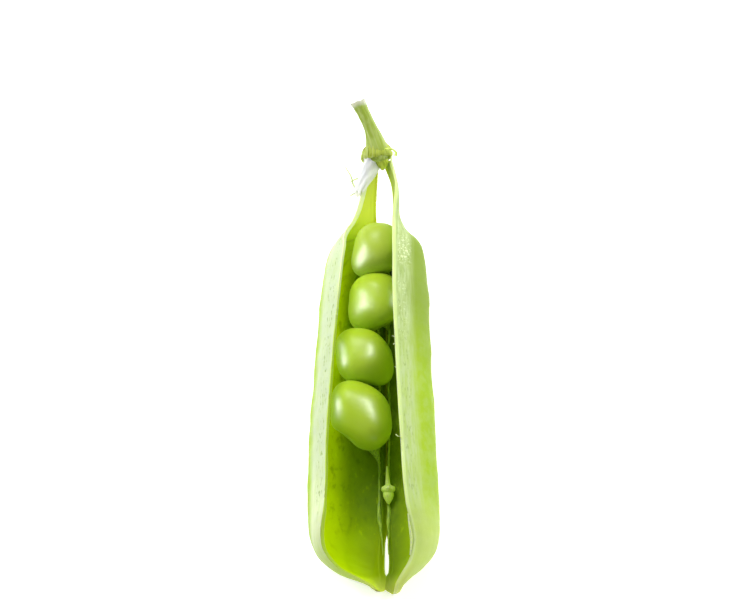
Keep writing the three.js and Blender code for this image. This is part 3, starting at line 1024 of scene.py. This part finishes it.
def surface_numbers(rows, y):
    """For each point: mm outwards from the rim, mm from the tip and 1 on the lining."""
    corner = OUTER_STEPS + 1 + LIP_STEPS // 2
    steps = np.linalg.norm(np.diff(rows, axis=1), axis=-1)
    girth = np.concatenate([np.zeros((len(y), 1)), np.cumsum(steps, axis=1)], axis=1)
    outward = girth[:, corner : corner + 1] - girth
    column = np.arange(rows.shape[1])
    last = rows.shape[1] - 1
    outward = np.where(column[None] >= last - SEAM_STEPS, np.abs(outward), outward)
    lining = smooth(corner - 1, corner + 4, column) * (column < last)
    tip = np.broadcast_to(y[:, None], outward.shape)
    return np.stack([outward, tip, np.broadcast_to(lining[None], outward.shape)], -1)


def wall_normals(rows, out):
    """The direction out of the wall at each point. out is the outward direction of each section."""
    across = np.roll(rows[:, :-1], -1, axis=1) - np.roll(rows[:, :-1], 1, axis=1)
    across = np.concatenate([across, across[:, :1]], axis=1)
    normal = unit(np.cross(np.gradient(rows, axis=0), across) + 1e-12)
    half = len(rows) // 2
    return normal * np.sign((normal[half, OUTER_STEPS // 2] * out[half]).sum())


def roughen(valve, s, rows, numbers, clear_of_seam, tear_height):
    """The rows with the skin's relief away from the back seam, and with small tears along the rim."""
    from_rim, tip, lining = np.abs(numbers[..., 0]), numbers[..., 1], numbers[..., 2]
    rng = np.random.default_rng(valve["seed"])
    gentle = waves(rng, from_rim, tip, *GENTLE_RELIEF["waves"])
    fine = waves(rng, from_rim, tip, *FINE_RELIEF["waves"])
    tears = waves(rng, 0 * tip, tip, *TEAR_WAVES, 16)
    near_rim = hump(0, RIM_WIDTH, from_rim)
    relief = (GENTLE_RELIEF["height"] * gentle + FINE_RELIEF["height"] * fine) * (1 - 0.7 * near_rim)
    groove = hump(RIM_GROOVE["from_rim"], RIM_GROOVE["width"], from_rim) * (1 - lining)
    relief = (relief - RIM_GROOVE["depth"] * groove) * smooth(0.2, 1.2, from_rim + 0.3)
    relief = relief * s["full"][:, None] * clear_of_seam[None]
    resting = rows[..., 2] < FLAT_HEIGHT + RESTING_ZONE
    relief = np.where(resting & (relief > 0), 0, relief)
    torn = tear_height * (tears + 0.4 * np.abs(tears)) * near_rim * s["full"][:, None]
    return rows + wall_normals(rows, s["out"]) * relief[..., None] + s["up"][:, None] * torn[..., None]


def valve_rows(valve, sizes):
    """Rows of points round a valve's wall, from the tip to the neck, and the numbers on its surface."""
    reach = NECK_END + PAST_NECK
    stations = np.linspace(0, 1, VALVE_STATIONS)
    y = reach * (stations - STATION_CROWDING * np.sin(2 * np.pi * stations) / (2 * np.pi))
    s = blunt_section(valve, y)
    t = np.linspace(0, 1, OUTER_STEPS + 1)
    rows = wall_loops(s, *wall_faces(s, t), sizes.rim_lip / MM)

    side = hump(0, SEAM_REACH, t)
    near_seam = np.concatenate([side, np.zeros(LIP_STEPS), side[::-1], np.ones(SEAM_STEPS + 1)])
    rows[..., 0] -= valve["side"] * seam_closing(valve, y)[:, None] * near_seam[None]
    rows[..., 1] -= valve["tip_reach"] * smooth(TIP_ZONE, 0, y)[:, None]

    numbers = surface_numbers(rows, y)
    rows = roughen(valve, s, rows, numbers, 1 - near_seam, sizes.rim_tear / MM)
    rows[:, -1] = rows[:, 0]
    low_depth, *at_seam = SEAM_DEPTHS
    down = low_depth * (1 - t)
    depth = np.concatenate([down, np.zeros(LIP_STEPS), down[::-1], np.linspace(*at_seam, SEAM_STEPS + 1)])
    return rows, {"skin": numbers, "depth": np.broadcast_to(depth[None], numbers.shape[:2])}


class PEAPOD_OT_valves(bpy.types.Operator):
    """Builds the two half shells of the pod."""

    bl_idname = "peapod.valves"
    bl_label = "Valves"

    def execute(self, context):
        sizes, colours = context.scene.pod_sizes, context.scene.pod_colours
        for valve in (LEFT, RIGHT):
            rows, skin = valve_rows(valve, sizes)
            obj = folded_sheet(valve["name"] + "_valve_shell", rows, skin)
            finish_piece(obj, valve_material(valve, colours), "valve", valve["name"] + "_valve")
        return {"FINISHED"}


PEA_RELIEF = 0.004


def pea_points(pea, ball):
    """The pea's surface in the given directions."""
    powers = (np.abs(ball) ** PEA_SQUARENESS).sum(-1, keepdims=True)
    points = ball / powers ** (1 / PEA_SQUARENESS)
    swell = np.ones(ball.shape[:-1])
    right, up, back = (np.array(axis) for axis in camera_axes())
    marks = [(*bump, BUMP_SHARPNESS) for bump in pea["bumps"]]
    marks += [(*notch, NOTCH_SHARPNESS) for notch in pea.get("notches", [])]
    for turn, lift, height, sharpness in marks:
        turn, lift = math.radians(turn), math.radians(lift)
        aside = right * math.cos(turn) + up * math.sin(turn)
        direction = aside * math.cos(lift) + back * math.sin(lift)
        swell = swell + height * np.exp(sharpness * (ball @ direction - 1))
    rng = np.random.default_rng(int(pea["centre"][1] * 10))
    u, v = ball[..., 0] + ball[..., 1], ball[..., 2] - ball[..., 1]
    swell = swell + PEA_RELIEF * waves(rng, u, v, 0.7, 2.0)
    return points * swell[..., None] * pea["radii"] + pea["centre"]


class PEAPOD_OT_peas(bpy.types.Operator):
    """Builds the four peas."""

    bl_idname = "peapod.peas"
    bl_label = "Peas"

    def execute(self, context):
        for number, pea in enumerate(PEAS, 1):
            obj = new_object(f"pea_{number}_seed", bpy.ops.mesh.primitive_ico_sphere_add, subdivisions=6)
            set_points(obj, to_frame(pea_points(pea, unit(points_of(obj)))))
            close_up(obj)
            material = pea_material(number, pea, context.scene.pod_colours)
            finish_piece(obj, material, "pea", f"pea_{number}")
            strips = [SOFT_BOXES[key][0] for key, peas in MIRRORED_BY.items() if number in peas]
            for name in (LIT_PEAS, *strips):
                bpy.data.collections[name].objects.link(obj)
            keep_from_key(obj)
        return {"FINISHED"}


# Rows of share and radius. The strand's and the funicle's radii are shares of their own radius.
STRAND_RADII = [[0, 0.3], [0.06, 0.7], [0.115, 1.7], [0.17, 1], [0.5, 1.1], [0.9, 1], [1, 0.4]]
FUNICLE_RADII = [[0, 0.6], [0.25, 0.8], [0.55, 1.6], [1, 3.4]]
FUNICLE_SUNK = {"in_strand": 0.2, "in_pea": 0.6, "arch": 0.1}
SCAR_RADII = [[0, 0.12], [0.5, 0.3], [1, 0.16]]

# The ovule's outline in shares of its radius: place along its axis and distance from it. It has a
# cone, a cap and a thin stalk.
OVULE_OUTLINE = [
    [-2.5, 0.0], [-2.4, 0.22], [-2.05, 0.45], [-1.6, 0.72], [-1.1, 0.88], [-0.65, 0.9], [-0.5, 0.84],
    [-0.42, 1.0], [-0.2, 1.14], [0.1, 1.17], [0.36, 1.08], [0.54, 0.82], [0.66, 0.56], [0.85, 0.42],
    [1.5, 0.34], [2.6, 0.24], [3.8, 0.14], [3.9, 0.0],
]
OVULE_SIDES = 28
OVULE_KNOBS = 0.06
SCAR_PLACES = (0.42, 0.1, -0.2)
SCAR_OUT = 1.12
SCAR_SUNK = 0.2


def scaled(radii, radius):
    """Rows of share and radius for a radius of the given size."""
    return [[share_along, part * radius] for share_along, part in radii]


class PEAPOD_OT_strands(bpy.types.Operator):
    """Builds the seed strands, the peas' small stalks and the ovule that never grew."""

    bl_idname = "peapod.strands"
    bl_label = "Seed strands"

    def execute(self, context):
        sizes, c = context.scene.pod_sizes, context.scene.pod_colours
        material = fibre_material("seed strand", c.strand, c.stalk)
        radius = sizes.strand_radius / MM
        for valve in (LEFT, RIGHT):
            line = strand_point(valve, np.linspace(STRAND_FROM, STRAND_TO, 30))
            name, radii = valve["name"] + "_seed_strand", scaled(STRAND_RADII, radius)
            obj = tube(name, line, radii, steps=150, wobble=0.05, seed=valve["seed"])
            finish_piece(obj, material, "valve", valve["name"] + "_valve")
        for number, (valve, root_y) in enumerate(FUNICLE_ROOTS, 1):
            self.funicle(number, valve, root_y, sizes.funicle_radius / MM, material)
        pale = fibre_material("ovule scar", c.stalk_pale, c.sheath)
        self.ovule(sizes.ovule_radius / MM, fibre_material("ovule", c.ovule, c.stalk_pale), pale)
        return {"FINISHED"}

    def funicle(self, number, valve, root_y, radius, material):
        """A wedge that narrows from the pea down to the seed strand."""
        pea = PEAS[number - 1]
        centre = np.array(pea["centre"])
        root = strand_point(valve, root_y)
        toward = unit(centre - root)
        end = pea_points(pea, unit((root - centre) / pea["radii"])[None])[0]
        end = end + FUNICLE_SUNK["in_pea"] * toward
        middle = (root + end) / 2 + [0, 0, FUNICLE_SUNK["arch"]]
        root = root - FUNICLE_SUNK["in_strand"] * toward
        line, radii = [root, middle, end], scaled(FUNICLE_RADII, radius)
        obj = tube(f"funicle_{number}", line, radii, sides=14, steps=16)
        finish_piece(obj, material, "valve", valve["name"] + "_valve")

    def ovule(self, radius, material, pale):
        """A small cap over a cone, like an acorn that hangs on the strand."""
        outline = np.array(OVULE_OUTLINE) * radius
        axis = unit(OVULE_AXIS)
        side = unit(np.cross(axis, [0, 0, 1.0]))
        turn = turns(OVULE_SIDES)
        spokes = round_spokes(side[None], np.cross(side, axis)[None], turn)
        knobby = 1 + OVULE_KNOBS * np.cos(3 * turn + 0.5)
        centre = strand_point(RIGHT, OVULE_Y) + OVULE_LIFT
        out = outline[:, 1, None, None] * (spokes * knobby[:, None])
        loops = centre + outline[:, 0, None, None] * axis + out
        obj = loft("undeveloped_ovule", loops)
        finish_piece(obj, material, "valve", "right_valve")
        face = unit(OVULE_FACE)
        scar = [centre + radius * (place_up * axis + SCAR_OUT * face) for place_up in SCAR_PLACES]
        scar[0] = scar[0] - SCAR_SUNK * radius * face
        obj = tube("ovule_scar", scar, SCAR_RADII, sides=12, steps=12)
        finish_piece(obj, pale, "valve", "right_valve")


# The stalk's last loops go back inside it, so that its broken end is hollowed.
STALK_SIDES = 72
STALK_STEPS = 70
STALK_SAMPLES = 200
STALK_RIBBED = (0.2, 0.4)
STALK_UNEVEN = 0.03
RAGGED_FROM = 0.97
RAGGED_HEIGHT = 0.12
STALK_START = {"shares": [0, 0], "fullness": [0, 0.7]}
STALK_END = {"shares": [1.0, 0.993, 0.985, 0.98], "fullness": [0.9, 0.7, 0.35, 0.0]}
RING_STATIONS = 144
RING_POINTS = 49
NECK_TISSUE_LINE = [[0.5, 72.6, 9.4], [1.15, 71.65, 9.3], [1.3, 71.05, 9.1], [1.25, 70.5, 8.9]]
NECK_TISSUE_RADII = [
    [0, 0], [0.02, 1.6], [0.2, 1.6], [0.4, 1.4], [0.6, 0.95], [0.8, 0.5], [0.93, 0.28], [1, 0],
]
NECK_TISSUE_FLATNESS = 0.75


class PEAPOD_OT_stalk(bpy.types.Operator):
    """Builds the stalk, its calyx base and the tissue between the necks."""

    bl_idname = "peapod.stalk"
    bl_label = "Stalk and calyx base"

    def execute(self, context):
        sizes, c = context.scene.pod_sizes, context.scene.pod_colours
        material = stalk_material(c)
        calyx = calyx_material(c)
        self.stalk(sizes.stalk_rib / MM, material)
        self.ring(calyx)
        self.neck_tissue(calyx)
        return {"FINISHED"}

    def stalk(self, rib, material):
        """The ribbed stalk, from its receptacle to its ragged broken end."""
        turn = turns(STALK_SIDES)
        middle = np.linspace(0.01, 1, STALK_STEPS)
        shares = np.concatenate([STALK_START["shares"], middle, STALK_END["shares"]])
        fullness = np.concatenate([STALK_START["fullness"], np.ones(STALK_STEPS), STALK_END["fullness"]])
        centres = line_through(STALK_LINE, shares)
        samples = line_through(STALK_LINE, np.linspace(0, 1, STALK_SAMPLES))
        forward = unit(np.gradient(samples, axis=0))[(shares * (STALK_SAMPLES - 1)).astype(int)]
        side = unit(np.cross(forward, [0, 0, 1.0]))
        rng = np.random.default_rng(5)
        ribs = np.cos(9 * turn + 0.6) + 0.5 * np.cos(14 * turn + 2)
        fade = smooth(*STALK_RIBBED, shares)[:, None]
        uneven = waves(rng, 1.1 * np.sin(turn)[None], shares[:, None] * 11, 1.5, 4)
        radius = along(STALK_RADII, 1, shares)[:, None] + fade * rib * ribs[None] + STALK_UNEVEN * uneven
        ragged = RAGGED_HEIGHT * waves(rng, 3 * np.cos(turn), 3 * np.sin(turn), 1.0, 2.5)
        spokes = round_spokes(side, np.cross(side, forward), turn)
        loops = centres[:, None] + spokes * (radius * fullness[:, None])[..., None]
        last = (shares > RAGGED_FROM)[:, None] * smooth(0.3, 0.9, fullness)[:, None]
        loops = loops + (last * ragged[None])[..., None] * forward[:, None]
        obj = loft("stalk_stem", loops)
        finish_piece(obj, material, "stalk", "stalk")
        keep_from_key(obj)

    def ring(self, material):
        """The ring of knobs and ribs round the receptacle, with its one torn tooth."""
        x, _, z = RECEPTACLE
        angle = np.linspace(0, 2 * np.pi, RING_STATIONS + 1)
        from_tooth = np.where(angle > np.pi, angle - 2 * np.pi, angle)
        tooth = np.exp(-(from_tooth**2) / TOOTH["spread"])
        rng = np.random.default_rng(8)
        knob = KNOBS["left"] * hump(np.pi, KNOBS["width"], angle)
        knob = knob + KNOBS["round"] * np.cos(KNOBS["count"] * angle)
        ribbed = hump(np.radians(RIBS["turn"]), RIBS["width"], angle)
        knob = knob + RIBS["height"] * ribbed * np.cos(RIBS["count"] * angle)
        u, v = KNOBS["circle"] * np.cos(angle), KNOBS["circle"] * np.sin(angle)
        rough = KNOBS["rough"] * waves(rng, u, v, 0.8, 2.2)
        outer = RING["outer"] + knob + TOOTH["out"] * tooth + rough
        top = RING["y"] + RING["above"] + TOOTH["up"] * tooth + rough
        bottom = RING["y"] - RING["below"] - 0.5 * rough
        bottom = bottom + RING["shorter_right"] * smooth(-0.2, 1, np.cos(angle))
        inner = RING["inner"] + 0 * angle
        # From the foot of its bore, out and up its side, over its top and down the bore.
        outline = [
            (inner, bottom + 0.2), (inner + 0.45, bottom - 0.05), (outer - 0.3, bottom - 0.08),
            (outer - 0.06, bottom + 0.22), (outer, bottom + 0.5), (outer - 0.04, bottom + 0.8),
            (outer - 0.12, RING["y"] + 0.35), (outer - 0.3, top - 0.25), (outer - 0.5, top + 0.1),
            (inner + 0.3, top + 0.5), (inner + 0.05, top + 0.75), (inner, top - 0.2), (inner, bottom + 0.2),
        ]
        corners = np.array([[r + 0 * angle, y + 0 * angle] for r, y in outline])
        fine = np.linspace(0, 1, RING_POINTS)
        rows = []
        for k, a in enumerate(angle):
            line = np.column_stack([np.linspace(0, 1, len(outline)), corners[:, 0, k], corners[:, 1, k]])
            r, y = along(line, 1, fine), along(line, 2, fine)
            rows.append(np.stack([x + r * math.cos(a), y, z + r * math.sin(a)], -1))
        rows = np.array(rows)
        rows[-1] = rows[0]
        rows[:, -1] = rows[:, 0]
        obj = folded_sheet("calyx_base", rows)
        finish_piece(obj, material, "calyx", "calyx_ring")
        keep_from_key(obj)

    def neck_tissue(self, material):
        """The green wedge of the receptacle that reaches down between the two necks."""
        shares, radii = np.array(NECK_TISSUE_RADII).T
        centres = line_through(NECK_TISSUE_LINE, shares)
        turn = turns(24)
        flat = np.stack([np.cos(turn), 0 * turn, NECK_TISSUE_FLATNESS * np.sin(turn)], -1)
        loops = centres[:, None] + radii[:, None, None] * flat[None]
        obj = loft("neck_tissue", loops)
        finish_piece(obj, material, "stalk", "stalk")


SHEATH_STEPS = 60
SHEATH_POINTS = 48
SHEATH_THREADS = [
    ([(-2.9, 66.9, 9.6), (-3.4, 68.2, 10.1), (-3.75, 69.5, 10.7), (-4.56, 70.87, 11.2)], 0.14),
    ([(-2.6, 69.2, 9.9), (-3.24, 68.8, 10.3), (-3.96, 68.3, 10.5)], 0.14),
    ([(-3.0, 67.2, 9.3), (-3.7, 66.6, 9.4), (-4.25, 66.3, 9.3)], 0.14),
    ([(-1.3, 72.9, 9.9), (-1.6, 71.5, 9.9), (-1.9, 70.4, 9.9)], 0.1),
]
THREAD_RADII = [[0, 1.3], [0.5, 1], [1, 0.6]]


class PEAPOD_OT_sheath(bpy.types.Operator):
    """Builds the papery stamen sheath on the left neck, with its loose threads."""

    bl_idname = "peapod.sheath"
    bl_label = "Stamen sheath"

    def execute(self, context):
        c = context.scene.pod_colours
        rows = self.sheath_rows(context.scene.pod_sizes.sheath_thickness / MM)
        obj = folded_sheet("papery_sheath", rows)
        finish_piece(obj, sheath_material(c), "sheath", "stamen_sheath")
        thread_material = fibre_material("sheath thread", c.grey_bloom, c.cut)
        for number, (line, radius) in enumerate(SHEATH_THREADS, 1):
            radii = scaled(THREAD_RADII, radius)
            name = f"sheath_thread_{number}"
            thread = tube(name, line, radii, sides=8, steps=24, wobble=0.04, seed=number)
            finish_piece(thread, thread_material, "sheath")
        return {"FINISHED"}

    def sheath_rows(self, thick):
        """Rows round the sheath's two faces, which wrap the left neck and flare and tear at their foot."""
        rng = np.random.default_rng(31)
        share_up = np.linspace(0, 1, SHEATH_STEPS + 1)
        across = np.linspace(0, 1, SHEATH_POINTS + 1)
        s = section(LEFT, lerp(SHEATH["from"], SHEATH["to"], share_up))
        opens = lerp(*SHEATH["opens"], share_up)[:, None]
        angle = np.radians(lerp(opens, SHEATH["closes"], across[None]))
        creases = waves(rng, 9 * across[None] + 0 * share_up[:, None], 2.2 * share_up[:, None], 0.9, 2.4)
        flare = SHEATH["flare"] * smooth(1, 0, share_up)[:, None] * hump(math.radians(25), 0.9, angle)
        clear = SHEATH["clear"] + SHEATH_CREASE * creases + flare
        torn = SHEATH_TEAR * waves(rng, 7 * across, 0 * across, 0.25, 1.0, 14)
        pull = smooth(0.3, 0, share_up)[:, None] * torn[None]
        outer = self.sheath_face(s, angle, clear + thick)
        inner = self.sheath_face(s, angle, clear)
        outer[..., 1] += pull
        inner[..., 1] += pull
        inner[0], inner[-1] = outer[0], outer[-1]
        return np.concatenate([outer, inner[:, ::-1], outer[:, :1]], axis=1)

    def sheath_face(self, s, angle, clear):
        """One face of the sheath, at each angle round the neck and that far clear of it."""
        half, bulge = s["chord"][:, None] / 2, s["bulge"][:, None]
        height = half + (half + clear) * np.sin(angle)
        depth = SHEATH_MIDDLE * bulge + (SHEATH_FULLNESS * bulge + clear) * np.cos(angle)
        return place(s, height, depth)


# Single shreds: the line and the rows of share and radius of each.
RIM_HAIR = ([(4.9, 22.7, 15.1), (5.4, 22.2, 15.7), (5.9, 22.1, 15.8)], [[0, 0.08], [1, 0.03]])
CALYX_HOOK = (
    [(2.2, 73.5, 11.0), (2.9, 73.45, 11.3), (3.6, 73.2, 11.4), (4.05, 72.7, 11.2), (3.95, 72.2, 11.0)],
    [[0, 0.22], [0.5, 0.16], [0.8, 0.22], [1, 0.34]],
)
PEEL = {"from": 9.3, "to": 3.8, "points": 9, "below_rim": 0.12, "rise": 0.1, "aside": 0.3}
PEEL_RADII = [[0, 0.1], [0.5, 0.2], [1, 0.1]]
RIM_FIBRE_RADII = [[0, 0.09], [1, 0.04]]


class PEAPOD_OT_shreds(bpy.types.Operator):
    """Builds the small torn fibres along the rims and at the calyx."""

    bl_idname = "peapod.shreds"
    bl_label = "Torn fibres"

    def execute(self, context):
        c = context.scene.pod_colours
        pale = fibre_material("torn fibre", c.rim, c.bloom)
        green = fibre_material("calyx shred", c.stalk, c.stalk_pale)
        s = section(RIGHT, np.linspace(PEEL["from"], PEEL["to"], PEEL["points"]))
        away = np.sin(np.linspace(0, np.pi, PEEL["points"]))
        height = s["chord"] - PEEL["below_rim"] + PEEL["rise"] * away
        peel = place(s, height, -PEEL["aside"] * away)
        pieces = {"rim_peel": (peel, PEEL_RADII), "rim_hair": RIM_HAIR, "calyx_hook": CALYX_HOOK}
        for number, (valve, y, reach) in enumerate(RIM_FIBRES, 1):
            s = section(valve, np.array([y]))
            root = place(s, s["chord"], 0 * s["chord"])[0]
            line = [root, root + 0.5 * np.array(reach) + [0, 0.08, 0], root + reach]
            pieces[f"rim_fibre_{number}"] = (line, RIM_FIBRE_RADII)
        for name, (line, radii) in pieces.items():
            obj = tube(name, line, radii, sides=10, steps=40, wobble=0.02, seed=len(name))
            finish_piece(obj, green if name == "calyx_hook" else pale, "valve")
        return {"FINISHED"}


def camera_axes():
    """The photograph's directions: to the right, up and towards the camera."""
    roll, tilt = math.radians(CAMERA_ROLL), math.radians(CAMERA_TILT)
    back = Vector((math.sin(roll) * math.cos(tilt), -math.sin(tilt), math.cos(roll) * math.cos(tilt)))
    right = Vector((0, 1, 0)).cross(back).normalized()
    return right, back.cross(right), back


class PEAPOD_OT_stage(bpy.types.Operator):
    """Sets up the camera, the floor and the soft studio light."""

    bl_idname = "peapod.stage"
    bl_label = "Stage"

    def execute(self, context):
        scene, light = context.scene, context.scene.pod_light
        scene.view_settings.view_transform = "Standard"
        right, up, back = camera_axes()
        aim = Vector(AIM_FROM) + AIM_RIGHT * right + AIM_UP * up + AIM_NEARER * back
        middle = Vector(to_frame(aim))
        lens = bpy.data.cameras.new("camera")
        lens.sensor_width = SENSOR_WIDTH
        lens.lens = SENSOR_WIDTH * CAMERA_DISTANCE / FRAME_WIDTH
        lens.clip_end = FAR_CLIP
        camera = bpy.data.objects.new("camera", lens)
        scene.collection.objects.link(camera)
        turn = Matrix((right, up, back)).transposed().to_4x4()
        camera.matrix_world = Matrix.Translation(middle + back * CAMERA_DISTANCE * MM) @ turn
        scene.camera = camera
        self.floor(context)
        self.world(scene, light.world)
        self.soft_boxes(light)
        return {"FINISHED"}

    def soft_boxes(self, light):
        """The lamps, and which pieces each of them lights and which ones cast its shadows."""
        lamps = {}
        for key, (name, spot, size) in SOFT_BOXES.items():
            lamps[key] = self.area(name, spot, size, getattr(light, key))
        peas, others = (bpy.data.collections.new(name) for name in (LIT_PEAS, UNLIT))
        for key in ("key", "inside", "lining"):
            lamps[key].light_linking.receiver_collection = others
        lamps["lining"].light_linking.blocker_collection = others
        lamps["pea_key"].light_linking.receiver_collection = peas
        for key in MIRRORED_BY:
            lamps[key].light_linking.receiver_collection = bpy.data.collections.new(SOFT_BOXES[key][0])
            lamps[key].visible_diffuse = False
        for key in ("pea_key", *MIRRORED_BY):
            lamps[key].light_linking.blocker_collection = peas
        for key in ("key", "pea_key", "inside", "lining"):
            lamps[key].visible_glossy = False

    def floor(self, context):
        """The white floor, which shines a little so that it stays white."""
        floor = new_object("floor", bpy.ops.mesh.primitive_plane_add, size=FLOOR_SIZE)
        c, glow = context.scene.pod_colours, context.scene.pod_light.floor_glow
        white = (1, 1, 1, 1)
        finish = {"Roughness": 0.9, "Emission Color": white, "Emission Strength": glow}
        shader = Shader("floor", {"Base Color": (*c.floor, 1), **finish})
        floor.data.materials.append(shader.material)

    def world(self, scene, brightness):
        """The white light from all round, which the glossy skins don't mirror."""
        world = bpy.data.worlds.new("soft light")
        world.use_nodes = True
        background = world.node_tree.nodes["Background"]
        background.inputs["Color"].default_value = (1, 1, 1, 1)
        background.inputs["Strength"].default_value = brightness
        world.cycles_visibility.glossy = False
        scene.world = world

    def area(self, name, spot, size, power):
        """A soft box at a spot in metres, turned towards the pod, with its length along the pod."""
        data = bpy.data.lights.new(name, "AREA")
        data.shape = "RECTANGLE"
        data.size, data.size_y = size
        data.energy = power
        obj = bpy.data.objects.new(name, data)
        away = Vector(spot).normalized()
        across = Vector((0, 1, 0)).cross(away).normalized()
        turn = Matrix((across, away.cross(across), away)).transposed().to_4x4()
        obj.matrix_world = Matrix.Translation(spot) @ turn
        bpy.context.scene.collection.objects.link(obj)
        return obj


class PEAPOD_PT_panel(bpy.types.Panel):
    """Lists the sizes, the colours and the steps that build the pod."""

    bl_idname = "PEAPOD_PT_panel"
    bl_label = "Pea pod"
    bl_space_type = "VIEW_3D"
    bl_region_type = "UI"
    bl_category = "Pea pod"

    def draw(self, context):
        layout, scene = self.layout, context.scene
        for group in (scene.pod_sizes, scene.pod_colours, scene.pod_light):
            column = layout.column()
            for name in group.__annotations__:
                column.prop(group, name)
        for operator in OPERATORS:
            layout.operator(operator.bl_idname)


OPERATORS = [
    PEAPOD_OT_stage,
    PEAPOD_OT_valves,
    PEAPOD_OT_peas,
    PEAPOD_OT_strands,
    PEAPOD_OT_stalk,
    PEAPOD_OT_sheath,
    PEAPOD_OT_shreds,
]
GROUPS = {"pod_sizes": PodSizes, "pod_colours": PodColours, "pod_light": PodLight}


def register():
    for name, group in GROUPS.items():
        bpy.utils.register_class(group)
        setattr(bpy.types.Scene, name, bpy.props.PointerProperty(type=group))
    for operator in OPERATORS:
        bpy.utils.register_class(operator)
    bpy.utils.register_class(PEAPOD_PT_panel)


def unregister():
    bpy.utils.unregister_class(PEAPOD_PT_panel)
    for operator in reversed(OPERATORS):
        bpy.utils.unregister_class(operator)
    for name, group in GROUPS.items():
        delattr(bpy.types.Scene, name)
        bpy.utils.unregister_class(group)


def main():
    register()
    bpy.ops.peapod.stage()
    bpy.ops.peapod.valves()
    bpy.ops.peapod.peas()
    bpy.ops.peapod.strands()
    bpy.ops.peapod.stalk()
    bpy.ops.peapod.sheath()
    bpy.ops.peapod.shreds()
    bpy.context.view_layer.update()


if __name__ == "__main__":
    main()
